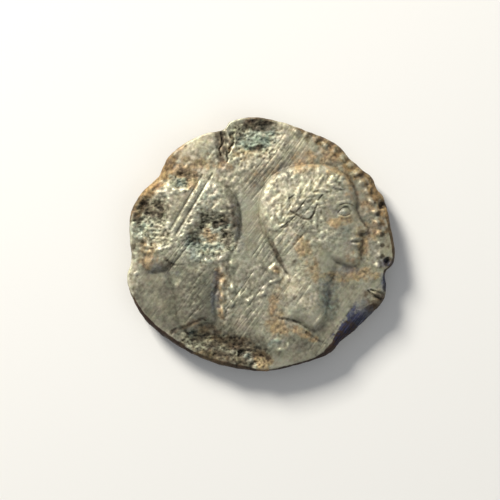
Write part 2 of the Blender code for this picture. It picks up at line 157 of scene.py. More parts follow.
HAIR_LINE = (
    (0.02, 0.54), (0.22, 0.51), (0.37, 0.4), (0.415, 0.29), (0.36, 0.235), (0.28, 0.2), (0.215, 0.12),
    (0.155, 0.05), (0.115, -0.06), (0.07, -0.1), (0.06, 0.02), (-0.01, 0.075), (-0.09, 0.03),
    (-0.12, -0.07), (-0.1, -0.16), (-0.15, -0.26), (-0.25, -0.4), (-0.33, -0.47), (-0.43, -0.34),
    (-0.5, -0.17), (-0.55, 0.03), (-0.52, 0.24), (-0.39, 0.42), (-0.19, 0.52),
)
WREATH_LINE = (
    (0.37, 0.35), (0.27, 0.315), (0.14, 0.29), (0.01, 0.245), (-0.11, 0.175), (-0.21, 0.09),
    (-0.3, -0.01), (-0.39, -0.11),
)
# Leaves: pairs, length, width, turn from the wreath in degrees, where they are widest, and their taper
LEAF_PAIRS = 9
LEAF_LENGTH = 0.15
LEAF_WIDTH = 0.04
LEAF_TURN = 30
LEAF_BELLY = 0.45
LEAF_ROOT = (0.3, 1)
LEAF_TIP = (1, 0.2)
RIBBONS = (
    ((-0.42, -0.12), (-0.49, -0.24), (-0.48, -0.38), (-0.41, -0.49)),
    ((-0.41, -0.14), (-0.44, -0.27), (-0.38, -0.4), (-0.37, -0.62), (-0.33, -0.74)),
)
# Locks: whorl, how far out they grow, lengths and shift in spacings, curl, taper and least height
WHORL = (-0.1, 0.2)
HAIR_REACH = 0.68
LOCK_LENGTHS = (1.2, 1.8)
LOCK_SHIFT = 0.2
LOCK_CURL = 0.05
LOCK_TAPER = (0.42, 0.14)
LEAST_LOCK = 0.35

# Mounds of a face: ellipse, height as a share of the head's relief
FACE_MOUNDS = (
    (0.23, -0.115, 0.2, 0.17, -20, 0.13), (0.3, 0.045, 0.12, 0.075, -8, -0.27),
    (0.315, 0.03, 0.055, 0.042, 0, 0.34), (0.435, -0.165, 0.05, 0.04, 20, 0.16),
    (0.36, -0.17, 0.05, 0.12, -25, -0.1), (0.405, -0.405, 0.075, 0.07, 0, 0.15),
    (0.41, -0.335, 0.07, 0.03, 5, -0.12), (0.1, -0.27, 0.15, 0.12, 40, 0.05),
    (-0.015, -0.035, 0.075, 0.115, -10, 0.16), (-0.005, -0.04, 0.035, 0.065, -10, -0.2),
    (0.3, 0.18, 0.16, 0.1, 15, 0.05),
)
# Ridges of a face: line, half widths at its start and end, height as a share of the head's relief
FACE_STROKES = (
    (((0.425, 0.085), (0.36, 0.115), (0.28, 0.105), (0.22, 0.065)), 0.035, 0.02, 0.12),
    (((0.38, 0.045), (0.335, 0.086), (0.26, 0.05)), 0.018, 0.014, 0.2),
    (((0.36, -0.012), (0.315, -0.03), (0.265, -0.01)), 0.016, 0.012, 0.12),
    (((0.43, 0.05), (0.47, -0.05), (0.515, -0.15)), 0.035, 0.045, 0.1),
    (((0.47, -0.232), (0.42, -0.232), (0.375, -0.25)), 0.026, 0.016, 0.13),
    (((0.465, -0.298), (0.42, -0.296), (0.385, -0.28)), 0.027, 0.016, 0.13),
    (((0.475, -0.264), (0.42, -0.266), (0.365, -0.266)), 0.014, 0.01, -0.22),
)
# The round of the cranium and of the cheeks: ellipse, height
ROUND_FORMS = ((-0.04, 0.08, 0.55, 0.5, 0, 0.52), (0.17, -0.13, 0.42, 0.45, 20, 0.46))
# Heights as shares of a head's relief, and widths of shoulders, ribbons and the neck's round
OUTLINE_RISE = 0.34
OUTLINE_ROUND = 0.085
NECK_SHOULDER = 0.15
NECK_RISE = 0.3
NECK_ROUND = 0.44
LOCK_RISE = 0.12
LEAF_RISE = 0.26
RIBBON_RISE = 0.12
RIBBON_WIDTH = 0.032
NECK_WIDTHS = (0.34, 0.26)
# Over what depth inside an outline, or height of the leaves, the forms on a head set in
FACE_MARGIN = 0.03
HAIR_MARGIN = (0, 0.025)
HAIR_OVERHANG = (-0.005, 0.02)
LEAF_MARGIN = (0, 0.02)
LEAF_SHADE = (0, 0.3)

# Middle of the head on the coin, which way it looks along X, tilt in degrees, crispness, height
RIGHT_HEAD = (0.375, 0.212, 1, 3, 1.0, RIGHT_HEAD_HEIGHT)
LEFT_HEAD = (-0.53, 0.144, -1, 3, 0.7, LEFT_HEAD_HEIGHT)

# Corroded hollows: ellipse, share of the depth, how craggy
HOLLOWS = (
    (-0.375, 0.068, 0.185, 0.18, 0, 1.0, 0.72), (-0.84, 0.225, 0.15, 0.175, 20, 0.95, 0.75),
    (-0.785, 0.055, 0.115, 0.085, -20, 0.5, 0.7), (-0.605, 0.48, 0.085, 0.07, 0, 0.5, 0.7),
    (-0.035, 0.8, 0.2, 0.165, 0, 0.95, 0.75), (-0.37, -0.765, 0.29, 0.11, -8, 0.85, 0.55),
    (-0.09, -0.85, 0.13, 0.09, -20, 0.65, 0.8),
)
# Their ragged outline, where their wall and its brink lie, and what they take of the relief
HOLLOW_RAGS = (0.1, 0.06, 0.1)
HOLLOW_RAG_SIZE = 0.07
HOLLOW_WALL = (1.12, 0.48)
HOLLOW_BRINK = (1.5, 0.95)
HOLLOW_SLOPE = 0.5
HOLLOW_WEAR = 0.5
# The crystals in them: level, furrows, crests, and how much flatter than wide they are
CRYSTAL_SHARES = (0.25, 0.7, 0.6)
CRYSTAL_STRETCH = 1.5
# Two straight gouges, and how far the metal beside them is scraped clean
GOUGES = (((-0.68, 0.115), (-0.445, 0.52)), ((-0.64, 0.075), (-0.368, 0.53)))
SCRAPE_SLOPE = 0.6
SCRAPE_SHARE = 0.8
# Half widths at both ends of a line, as shares of the gouges' or the cracks'
GOUGE_TAPER = (1.3, 0.8)
SCRAPE_TAPER = (3, 2.4)
GROOVE_TAPER = (1.3, 0.8)
CUT_TAPER = (0.7, 0.5)
CRACK_TAPER = (2.5, 1)
# How far creases wander, the size of their bends, and how much of it other forms take
WANDER = 0.016
WANDER_SIZE = 0.06
CUT_WANDER = 0.3
RING_WANDER = 0.4
PINHOLE_WANDER = 0.5
CRACK_WANDER = 2
# How patchy the creases are: its mean and how uneven it is; and how dark dirt and painted shade make them
# and the cuts
CREASE_PATCHINESS = (0.85, 0.45)
CREASE_DARKNESS = 0.9
CUT_DARKNESS = 0.7
# Small deep holes: centre, radius, share of HOLLOW_DEPTH; and how dark they are
PINHOLE_DARKNESS = 2
PINHOLES = (
    (0.905, 0.298, 0.04, 1.2), (0.945, -0.122, 0.03, 0.8), (-0.345, 0.145, 0.04, 0.35),
    (0.03, 0.905, 0.06, 0.8), (-0.15, -0.815, 0.04, 0.9), (-0.88, 0.3, 0.04, 0.6),
)
# Little rings: centre, radius, half width, share of MARK_RELIEF
RINGS = (
    (-0.605, 0.48, 0.072, 0.04, 0.4), (-0.105, -0.855, 0.034, 0.02, 1.3),
    (0.11, -0.205, 0.045, 0.022, 0.7), (-0.375, 0.068, 0.06, 0.03, 0.6),
)
# Creases, painted dark with dirt and shade: a wreath's tie, the nape and the cut of the necks
GROOVES = (
    ((0.227, 0.245), (0.3, 0.205), (0.348, 0.195), (0.39, 0.23), (0.417, 0.292)),
    ((0.02, 0.15), (0.05, 0.04), (0.092, -0.045), (0.15, -0.16), (0.207, -0.242)),
    ((0.135, -0.546), (0.225, -0.562), (0.29, -0.596), (0.338, -0.626)),
    ((-0.68, -0.668), (-0.6, -0.622), (-0.465, -0.562), (-0.42, -0.574)),
    ((-0.72, -0.105), (-0.66, -0.15), (-0.58, -0.15)), ((0.345, -0.665), (0.42, -0.71), (0.495, -0.75)),
)
# Short thin cuts in the hair, and the creases of the right head's eyelids and brow, all painted dark with
# dirt and shade
CUTS = (
    ((0.262, 0.242), (0.3, 0.298), (0.338, 0.352)), ((0.148, 0.128), (0.195, 0.162), (0.242, 0.206)),
    ((0.12, 0.3), (0.165, 0.31)), ((0.205, 0.345), (0.245, 0.37)), ((0.42, 0.33), (0.455, 0.372)),
    ((0.668, 0.248), (0.644, 0.278), (0.608, 0.276), (0.572, 0.241)),
    ((0.66, 0.23), (0.627, 0.214), (0.595, 0.224)), ((0.695, 0.286), (0.646, 0.307), (0.584, 0.296)),
)
# Cracks that run in from the edge
CRACKS = (
    ((-0.265, 0.94), (-0.29, 0.84), (-0.311, 0.77), (-0.305, 0.67)),
    ((-0.215, 0.83), (-0.21, 0.78), (-0.245, 0.71), (-0.265, 0.63)),
    ((0.96, -0.43), (0.86, -0.394), (0.81, -0.35)), ((0.925, -0.372), (0.885, -0.362), (0.835, -0.345)),
)
# Worn ribbons, short strokes and swellings: ellipse, share of MARK_RELIEF
MARKS = (
    (-0.46, 0.74, 0.19, 0.11, 35, 0.9), (0.56, 0.7, 0.16, 0.07, -35, 0.8),
    (-0.29, -0.2, 0.036, 0.055, 15, 2.4), (-0.3, -0.3, 0.032, 0.055, -5, 2.3),
    (-0.292, -0.4, 0.03, 0.055, 0, 2.1), (-0.29, -0.5, 0.026, 0.05, 0, 1.7),
    (-0.215, -0.33, 0.032, 0.045, 20, 2.0), (-0.225, -0.44, 0.032, 0.04, 0, 1.8),
    (-0.22, -0.15, 0.034, 0.04, 40, 1.6), (0.33, -0.36, 0.18, 0.2, 20, 1.1),
    (-0.5, -0.42, 0.16, 0.2, 20, 0.8), (0.865, -0.365, 0.045, 0.03, 0, 1.6),
    (0.87, -0.43, 0.035, 0.025, 0, 1.6), (0.105, -0.205, 0.05, 0.035, 10, 1.5),
    (0.03, -0.33, 0.045, 0.02, 40, 0.7), (-0.06, -0.4, 0.045, 0.022, 30, 0.9),
    (-0.098, -0.425, 0.03, 0.022, 20, 2.0), (-0.16, -0.395, 0.026, 0.04, -30, 1.5),
    (0.01, -0.372, 0.04, 0.018, 35, 1.6), (0.1, -0.275, 0.07, 0.016, 18, 1.8),
    (0.205, -0.26, 0.06, 0.016, -42, 1.6), (0.432, -0.563, 0.1, 0.018, 49, 1.6),
    (-0.645, -0.3, 0.07, 0.022, 45, 0.6), (-0.14, 0.562, 0.07, 0.015, 8, 1.6),
    (0.13, -0.72, 0.045, 0.018, 5, 1.4), (0.145, -0.79, 0.045, 0.016, 0, 1.3),
    (0.2, -0.755, 0.018, 0.045, 0, 1.0),
)
# The arc where beads are left, and how unevenly they are worn
BORDER_ARC = (73, -13)
BEAD_WEAR = (0.75, 0.6)
BEAD_WEAR_SIZE = 0.16
LEAST_BEAD = 0.35
# Beside the beads, painted shadow: turn past them in degrees, distance from the flan's edge, strength;
# and how pale the beads are rubbed
GAP_TURN = 2.6
GAP_INSET = 0.0012
GAP_SHADOW = 0.95
BEAD_POLISH = 0.6

# Scratches: their bearing and its wavering in degrees, their shift, lengths, widths, depths and taper, and
# the width and share of the broader streaks among them
SCRATCH_TURN = 53
SCRATCH_WAVER = 3
SCRATCH_SHIFT = 0.35
SCRATCH_LENGTHS = (0.2, 0.5)
SCRATCH_WIDTHS = (0.8, 1.8)
SCRATCH_DEPTHS = (0.4, 1.3)
SCRATCH_TAPER = (1, 0.5)
BROAD_STREAK = 2.7
BROAD_STREAK_SHARE = 0.35
# Their groups: centre, length, spread across it, how many, depth as a share of SCRATCH_DEPTH
SCRATCH_GROUPS = (
    (0.08, 0.6, 0.5, 0.16, 20, 1.1), (0.2, 0.68, 0.36, 0.16, 12, 0.8),
    (-0.47, -0.38, 0.32, 0.2, 18, 1.2), (-0.09, -0.45, 0.34, 0.26, 22, 1.2),
    (0.22, 0.23, 0.24, 0.26, 16, 1.1), (0.29, -0.3, 0.26, 0.18, 9, 1.0),
    (0.13, 0.02, 0.34, 0.22, 14, 1.3), (0.29, 0.49, 0.22, 0.32, 12, 0.9),
    (0.43, -0.76, 0.13, 0.1, 6, 1.2), (-0.65, -0.04, 0.22, 0.12, 8, 1.3),
    (-0.02, 0.18, 0.3, 0.24, 12, 0.5), (0.1, -0.06, 0.3, 0.2, 10, 0.5),
    (-0.78, -0.45, 0.2, 0.14, 8, 0.4),
)

# The rim's colour: its strength on the obverse's brink, how sharply it starts down the edge, where that
# brink lies on the way out, and the colour's upper limits
RIM_PAINT = 0.8
RIM_SHARPNESS = 12
RIM_BRINK = (0.9, 0.98)
MOST_RIM_PAINT = 1.4
MOST_ONSET = 0.5
# How dark the rim is painted, its own dark red-brown deepened by painted shade on the side away from
# the key lamp: degrees, share
RIM_DARKNESS = (
    (0, 0.6), (12, 0.2), (30, 0.05), (60, 0.08), (80, 0.25), (100, 0.3), (120, 0.2), (140, 0.1),
    (165, 0.1), (185, 0.35), (200, 0.75), (210, 1.0), (230, 1.0), (255, 1.0), (275, 1.0), (295, 1.0),
    (325, 1.0), (345, 0.95),
)
# How far down the edge the rim's colour starts: degrees, share of the edge's upper half
RIM_ONSET = (
    (0, 0.05), (30, 0.0), (85, 0.1), (100, 0.3), (122, 0.3), (132, 0.0), (162, 0.0), (174, 0.5),
    (194, 0.45), (201, 0.12), (208, 0.03), (217, 0.0), (228, 0.0), (236, 0.17), (244, 0.17), (251, 0.0),
    (260, 0.0), (268, 0.25), (284, 0.25), (298, 0.12), (306, 0.0), (325, 0.0), (336, 0.1), (350, 0.1),
)

# What lies where on the obverse, in the order of its seeds; each row is an ellipse and a strength
STAINS = {
    "rust": (
        (0.335, 0.63, 0.1, 0.07, 30, 0.9), (0.48, 0.66, 0.1, 0.05, -10, 0.8),
        (0.56, 0.55, 0.07, 0.05, 0, 0.6), (0.66, 0.43, 0.035, 0.11, 5, 0.6),
        (0.62, 0.18, 0.07, 0.035, 25, 1.0), (0.55, 0.165, 0.06, 0.03, 0, 0.9),
        (0.785, 0.32, 0.06, 0.1, 15, 0.55), (0.84, 0.1, 0.06, 0.07, 0, 0.8),
        (0.755, 0.03, 0.05, 0.11, 10, 0.75), (0.75, -0.215, 0.1, 0.05, 0, 1.0),
        (0.56, -0.245, 0.09, 0.035, 0, 1.1), (0.7, -0.1, 0.06, 0.06, 0, 0.6),
        (0.38, -0.19, 0.05, 0.09, 20, 0.7), (0.31, -0.02, 0.05, 0.09, 15, 0.9),
        (0.11, -0.5, 0.05, 0.14, 0, 0.7), (0.13, -0.63, 0.08, 0.05, -20, 1.0),
        (0.3, -0.665, 0.11, 0.03, -25, 0.8), (0.02, -0.87, 0.05, 0.05, 0, 1.3),
        (0.11, -0.19, 0.04, 0.03, 0, 0.8), (-0.86, -0.07, 0.06, 0.09, 10, 0.8),
        (-0.8, 0.45, 0.09, 0.05, 50, 0.9), (-0.31, -0.26, 0.045, 0.1, -5, 0.8),
        (-0.305, -0.42, 0.035, 0.12, 0, 0.7), (-0.48, -0.61, 0.07, 0.04, -10, 0.7),
        (-0.25, -0.72, 0.14, 0.05, -8, 0.6), (-0.36, -0.83, 0.12, 0.03, -12, 0.5),
        (-0.59, 0.545, 0.09, 0.05, -30, 1.0), (-0.52, 0.48, 0.04, 0.06, 0, 1.3),
        (-0.46, 0.62, 0.14, 0.05, 0, 0.7), (-0.28, 0.6, 0.1, 0.035, -15, 0.7),
        (-0.13, 0.68, 0.13, 0.05, 0, 0.6), (0.02, 0.52, 0.08, 0.14, -37, 0.3),
        (-0.7, 0.6, 0.15, 0.035, 48, 1.0), (-0.88, 0.43, 0.04, 0.1, -25, 0.9),
        (-0.395, 0.062, 0.055, 0.045, 0, 1.0), (-0.27, 0.72, 0.05, 0.1, 0, 0.5),
        (-0.03, -0.85, 0.06, 0.04, 0, 0.9), (0.88, 0.36, 0.05, 0.14, 25, 0.7),
    ),
    # Cream crusts, and painted highlights on the right head's hair and on the upper part of its neck
    "cream": (
        (-0.49, 0.765, 0.17, 0.085, 36, 1.25), (-0.06, 0.64, 0.19, 0.07, 5, 0.7),
        (0.08, 0.71, 0.07, 0.035, 35, 0.9), (-0.05, 0.815, 0.09, 0.05, 0, 0.8),
        (-0.395, 0.062, 0.07, 0.055, 0, 1.3), (-0.49, 0.1, 0.03, 0.1, -10, 0.5),
        (0.34, -0.4, 0.1, 0.1, 0, 0.6), (-0.03, 0.69, 0.11, 0.04, 15, 0.8),
        (-0.42, 0.54, 0.1, 0.04, -10, 0.7), (-0.79, 0.08, 0.06, 0.07, 0, 0.5),
        (0.13, 0.85, 0.1, 0.07, -15, 0.8), (0.25, 0.76, 0.1, 0.05, -30, 0.6),
        (-0.34, 0.5, 0.09, 0.05, 0, 0.6), (-0.31, 0.33, 0.08, 0.1, 30, 0.4), (-0.7, 0.34, 0.1, 0.1, 0, 0.5),
        (0.38, 0.42, 0.17, 0.12, 15, 0.9), (0.14, 0.28, 0.13, 0.17, 0, 0.9),
        (0.15, 0.09, 0.1, 0.15, 25, 0.7), (0.26, -0.28, 0.12, 0.1, 20, 0.9),
        (0.43, -0.27, 0.08, 0.06, -30, 0.6), (-0.98, -0.18, 0.04, 0.16, 0, 0.8),
        (-0.645, -0.3, 0.07, 0.02, 45, 0.3), (-0.14, 0.565, 0.07, 0.015, 8, 0.8),
        (-0.29, -0.3, 0.035, 0.16, 0, 0.5), (0.86, -0.365, 0.04, 0.025, 0, 0.8),
        (0.87, -0.435, 0.03, 0.02, 0, 0.8),
    ),
    "verdigris": (
        (-0.31, 0.135, 0.07, 0.03, 20, 1.2), (-0.34, -0.03, 0.09, 0.04, 0, 0.7),
        (-0.45, 0.02, 0.06, 0.1, 0, 0.7), (0.04, 0.85, 0.06, 0.045, 0, 1.2),
        (-0.04, 0.785, 0.12, 0.06, 5, 1.1), (-0.88, 0.12, 0.09, 0.07, 10, 0.6),
        (-0.598, 0.468, 0.035, 0.028, 0, 1.1), (-0.5, -0.68, 0.06, 0.03, -20, 0.8),
        (-0.12, -0.84, 0.05, 0.03, -20, 0.9), (0.1, -0.735, 0.05, 0.03, 0, 0.6),
        (-0.4, 0.3, 0.14, 0.08, 50, 0.35), (-0.2, -0.4, 0.06, 0.14, 0, 0.3),
        (0.5, -0.38, 0.07, 0.14, 5, 0.4), (-0.49, -0.03, 0.06, 0.09, 25, 0.9),
        (-0.4, -0.1, 0.09, 0.04, -15, 0.6),
    ),
    # Dark crusts and corrosion, with painted shadow under the left chin, along the right head's nape,
    # beside the left head's back and on the upper walls of the hollows
    "darkness": (
        (-0.34, 0.2, 0.11, 0.035, -5, 0.5), (-0.975, -0.05, 0.03, 0.06, 0, 0.8),
        (-0.57, -0.615, 0.13, 0.018, 25, 1.0), (-0.51, 0.05, 0.04, 0.12, 5, 0.45),
        (-0.47, -0.05, 0.05, 0.04, 30, 0.4), (0.245, -0.4, 0.11, 0.012, 45, 0.5),
        (0.245, -0.13, 0.07, 0.012, 54, 0.5), (-0.225, -0.885, 0.1, 0.03, -5, 1.3),
        (-0.26, 0.06, 0.035, 0.1, 10, 0.5), (-0.82, 0.275, 0.14, 0.07, -5, 1.0),
        (-0.72, 0.63, 0.18, 0.045, 48, 0.5), (-0.95, 0.34, 0.035, 0.13, -20, 0.5),
        (-0.32, -0.065, 0.07, 0.03, 20, 0.5), (0.79, -0.37, 0.05, 0.025, 10, 0.7),
        (-0.93, 0.2, 0.04, 0.07, 0, 0.7), (0.0, 0.9, 0.11, 0.04, -5, 1.4),
        (-0.02, 0.735, 0.06, 0.018, 15, 0.7), (-0.55, 0.53, 0.1, 0.035, -25, 0.7),
        (-0.17, 0.86, 0.05, 0.07, 0, 0.4), (-0.45, -0.68, 0.14, 0.05, 20, 1.0),
        (-0.22, -0.73, 0.18, 0.06, -8, 1.1), (-0.3, -0.84, 0.2, 0.04, -12, 1.0),
        (-0.03, -0.8, 0.1, 0.06, -30, 0.9), (-0.305, 0.79, 0.045, 0.14, 0, 1.0),
        (-0.3, 0.715, 0.03, 0.035, 0, 0.8), (-0.75, -0.16, 0.11, 0.03, -8, 0.6),
        (0.84, -0.43, 0.08, 0.04, 48, 1.1), (0.115, -0.075, 0.17, 0.018, -64, 0.9),
        (-0.26, 0.17, 0.06, 0.02, 10, 0.9), (-0.195, 0.24, 0.035, 0.13, 5, 0.6),
        (0.955, -0.145, 0.035, 0.035, 0, 1.2), (-0.27, 0.02, 0.03, 0.09, 0, 0.3),
        (-0.375, -0.71, 0.26, 0.1, -8, 0.5), (-0.9, 0.1, 0.05, 0.05, 0, 0.5),
    ),
    # Blue-violet tarnish on the break and its notch, and painted slate shade under the chins, on the necks'
    # sides, beside the left head's back and in the right eye's socket
    "blue": (
        (0.72, -0.5, 0.09, 0.04, 50, 1.2), (0.62, -0.66, 0.06, 0.03, 45, 0.9),
        (0.93, -0.13, 0.05, 0.03, 10, 1.1), (0.92, -0.28, 0.025, 0.06, 0, 1.1),
        (0.6, 0.28, 0.08, 0.05, 35, 0.5), (0.64, 0.05, 0.05, 0.06, 30, 0.4),
        (0.66, -0.19, 0.1, 0.03, 0, 0.8), (0.5, -0.36, 0.06, 0.15, 5, 0.45),
        (-0.345, -0.36, 0.03, 0.14, 0, 0.9), (-0.75, -0.19, 0.12, 0.04, -8, 0.5),
        (-0.175, 0.17, 0.035, 0.17, 5, 0.6), (0.1, 0.6, 0.07, 0.1, 30, 0.25),
    ),
    "granular": (
        (-0.03, -0.36, 0.22, 0.26, 0, 0.6), (0.62, 0.62, 0.22, 0.12, -30, 0.5),
        (-0.12, 0.66, 0.16, 0.09, 5, 1.1), (-0.47, 0.0, 0.08, 0.14, 15, 1.0),
        (-0.36, -0.1, 0.13, 0.06, -5, 0.9), (-0.98, -0.16, 0.07, 0.22, 0, 1.0),
        (-0.27, -0.35, 0.05, 0.24, 0, 0.9), (0.82, 0.05, 0.1, 0.3, 0, 0.6),
        (-0.46, 0.55, 0.28, 0.12, 30, 0.8), (-0.25, 0.48, 0.1, 0.14, 20, 0.8),
        (-0.28, 0.82, 0.07, 0.16, 0, 1.0), (-0.34, 0.4, 0.14, 0.16, 20, 0.9),
        (0.1, -0.62, 0.22, 0.14, -20, 0.5),
    ),
    # Duller, darker patina, and painted shade on the right side of the right neck and on the front of the
    # left neck
    "dull": (
        (-0.56, -0.42, 0.23, 0.24, 20, 1.1), (-0.84, -0.42, 0.13, 0.2, 10, 0.7),
        (0.35, -0.74, 0.2, 0.1, 20, 0.8), (0.6, -0.35, 0.1, 0.2, 10, 0.5),
        (-0.24, 0.22, 0.05, 0.22, 5, 0.7), (-0.1, -0.55, 0.16, 0.1, 30, 0.3),
        (-0.62, -0.22, 0.14, 0.05, 0, 0.6), (0.08, 0.58, 0.1, 0.18, -37, 0.9),
        (0.15, 0.52, 0.13, 0.05, 38, 0.9), (-0.09, -0.36, 0.2, 0.16, 0, 0.5),
        (0.5, -0.4, 0.08, 0.15, 5, 0.8), (-0.71, -0.34, 0.05, 0.12, 30, 0.8),
        (-0.53, 0.3, 0.26, 0.045, 59, 0.45), (-0.765, 0.41, 0.06, 0.04, 30, 1.0),
        (-0.765, -0.01, 0.07, 0.03, 20, 0.8), (-0.3, -0.74, 0.34, 0.12, -10, 1.0),
        (0.8, 0.2, 0.08, 0.25, 0, 0.4),
    ),
    "glint": (
        (0.675, -0.52, 0.055, 0.022, 50, 0.85), (0.6, -0.605, 0.05, 0.02, 50, 0.75),
        (0.535, -0.68, 0.04, 0.018, 50, 0.6), (0.92, -0.28, 0.018, 0.05, 0, 0.8),
        (0.95, -0.135, 0.035, 0.022, 0, 0.7),
    ),
    "smooth": (
        (0.61, 0.23, 0.12, 0.11, 0, 1.0), (-0.62, 0.27, 0.07, 0.1, -30, 0.9),
        (0.66, 0.0, 0.1, 0.12, 0, 0.6),
    ),
}

# The obverse's texture: head heights at which it turns grainy, the share that smooth places lose, the least
# grain, the share of the streaks that grain hides, and the lift of the crusts
GRAINY_HEADS = (0.55, 0.92)
SMOOTHED_SHARE = 0.85
LEAST_GRAIN = 0.15
STREAKS_LOST = 0.6
CRUST_LIFT = 0.2
# Ragged edges of the stains: two kinds of lumps, each a share and a size, and a stain's full reach in radii
STAIN_RAGS = ((0.5, 0.1), (0.3, 0.03))
STAIN_GROWTH = 1.6
# The reverse's corroded patches and stains: strength, where the noise starts and fills them, its size
REVERSE_PATCHES = (0.05, 0.35, 0.45)
REVERSE_STAINS = {
    "rust": (0.55, 0.05, 0.6, 0.35), "cream": (0.7, 0.15, 0.6, 0.3), "verdigris": (1, 0.2, 0.5, 0.25),
    "darkness": (0.7, 0.1, 0.6, 0.3), "granular": (1, 0, 0.4, 0.4), "dull": (1, 0, 0.5, 0.5),
}
# Odd numbers that scatter the cells and seeds of a random lattice, and a shift that keeps cells positive
SCATTERERS = (374761393, 668265263, 974634777, 1274126177)
LATTICE_SHIFT = 1000
# The turn of the first octave of roughness, and of each further one, in radians
OCTAVE_TURNS = (0.6, 1.1)

# Blotches in the bronze: size in metres, sharpness, seed, for its tone, warm, cool, fine, speck and grain
BLOTCHES = ((0.0042, 0.2, 1.0), (0.0026, 0.18, 2.0), (0.0021, 0.15, 13.0), (0.0007, 0.22, 3.0),
            (0.00032, 0.16, 4.0), (0.0002, 0.45, 12.0))
MOTTLE_DETAIL = 4.0
PAINT_STREAK_WIDTH = 0.00016
PAINT_STREAK_LENGTH = 0.005
STREAK_DETAIL = 3.0
STREAK_RANGE = (0.38, 0.7)
# Stains: how far noise breaks them up, and where they start and are full
GLAZE_DETAIL = 3.0
GLAZE_BREAKUP = 2.2
GLAZE_RANGE = (0.1, 0.95)
GLAZE_EDGE = (0, 0.18)
GLAZES = (("dull", 0.001, 16.0), ("corroded", 0.0008, 5.0), ("edge", 0.0006, 11.0), ("glint", 0.0003, 17.0))
# Grit: the share of the specks, and the painted shade that darkens it in fine recesses
GRIT_SPECKS = 0.55
GRIT_SHADE = -0.6
GRIT_RECESS = (-0.25, 0.25)
RIM_SPECKS = 0.6
GRAIN_SHARES = (0.22, 0.67)
# Colours on screen, 0 to 255, the dark one first
BRONZE = ((120, 117, 98), (166, 163, 139))
GRAIN = ((92, 86, 66), (212, 209, 182))
# Dull patina, also painting shade on the necks' sides
DULL_PATINA_AND_SHADE = ((66, 62, 50), (118, 116, 98))
HOLLOW_FLOOR = ((60, 54, 40), (184, 181, 152))
GOLDEN_RIM = ((38, 31, 22), (156, 130, 90))
# The rim's dark red-brown, deepened by painted shade
SHADED_RED_RIM = ((20, 9, 7), (48, 27, 20))
GLINT = ((12, 12, 22), (64, 68, 100))
DULL_STRENGTH = 0.75
HOLLOW_STRENGTH = 0.85
RIM_STRENGTH = 0.95
GLINT_STRENGTH = 0.85
# Thin films over the bronze, for its warm, cool, fine and streaked parts: strength, colour
FILMS = ((0.5, (142, 122, 92)), (0.2, (126, 136, 128)), (0.25, (108, 103, 83)), (0.2, (192, 188, 164)))
# Rubbed crests, and recesses darkened with dirt and painted shade: mask, where it starts and is full,
# strength, colour
RECESS_PAINT = (
    ("recess", -0.4, -2.2, 0.35, (206, 202, 176)), ("recess", 0.3, 2.2, 0.7, (72, 66, 52)),
    ("fine_recess", 0.1, 0.6, 0.75, (56, 50, 38)),
)
# Crusts, from the lowest up, of which cream also carries painted highlights, and blue and darkness
# painted shade: mask, strength, size of their blotches in metres, dark and light colour
CRUSTS = (
    ("cream", 0.7, 0.0007, (150, 140, 112), (208, 201, 174)),
    ("rust", 0.68, 0.0006, (86, 64, 40), (180, 148, 100)),
    ("verdigris", 0.6, 0.0005, (58, 74, 68), (152, 169, 154)),
    ("blue", 0.6, 0.0006, (46, 48, 56), (104, 110, 117)),
    ("darkness", 0.84, 0.0006, (28, 23, 17), (84, 70, 52)),
)
# Specks of slightly different hues, as mixed minerals have: share, size in metres, seed
MINERAL_TINTS = ((0.07, 0.0014, 14.0), (0.1, 0.0004, 15.0))
MINERAL_DETAIL = 2.0
# Metallic, roughness and specular level, each on bare metal and under a full crust
FINISH = ((0.55, 0.25), (0.53, 0.66), (0.5, 0.18))
STREAK_GLOSS = -0.06
BUMP_STREAKS = -0.5
BUMP_GRAIN = 0.8
BUMP_STRENGTH = 0.5
BUMP_DEPTH = 0.00003

# The table and the sky
TABLE_SIZE = 1.2
TABLE_GAP = 0.00002
TABLE_COLOUR = (222, 220, 214)
TABLE_ROUGHNESS = 0.8
SKY_COLOUR = (0.9, 0.93, 1.0, 1)
SKY_STRENGTH = 0.36
# A key at the top left and a weak fill at the lower right: place, size, power, tint
LAMPS = (("key", (-0.2, 0.275, 0.195), 0.115, 2.85, (1.0, 0.976, 0.928)),
         ("fill", (0.16, -0.1, 0.16), 0.16, 0.08, (0.92, 0.96, 1.0)))

# The altar on the reverse, in shares of its height: corners of its steps, body and slab, and how far its
# outline and its flames fade out
ALTAR_BLOCKS = ((-0.36, -0.5, 0.36, -0.38), (-0.29, -0.4, 0.29, -0.31), (-0.23, -0.33, 0.23, 0.16),
                (-0.31, 0.14, 0.31, 0.26))
ALTAR_MARGIN = (-0.02, 0.03)
FLAME_WIDTHS = (0.055, 0.02)
ALTAR_FLAMES = (
    ((0.0, 0.24), (0.03, 0.36), (0.0, 0.5)), ((-0.15, 0.24), (-0.14, 0.33), (-0.18, 0.42)),
    ((0.15, 0.24), (0.17, 0.33), (0.14, 0.42)),
)
# The reverse's short strokes: their arcs, and their leans in degrees and lengths, which take turns
STROKE_ARCS = ((125, 232), (-52, 55))
STROKE_LEANS = (1.2, 2.4, 1.6, 2.8)
STROKE_SHARES = (1, 0.8, 0.6)
# Heights on the reverse as struck, where all above 1 is rubbed flat
ALTAR_RISE = 1.5
STROKE_RISE = 0.8
BORDER_RISE = 2
SCALLOP_RISE = 0.25

# Where the camera looks and how wide, in metres from the coin's middle, and its lens in millimetres
VIEW_CENTRE = (-0.0011, -0.00055)
VIEW_WIDTH = 0.05
LENS = 100
SENSOR = 36
NEAREST_SEEN = 0.001


def smooth_step(low, high, value):
    """0 below low, 1 above high, and an S-curve between."""
    share = np.clip((value - low) / (high - low), 0, 1)
    return share * share * (3 - 2 * share)


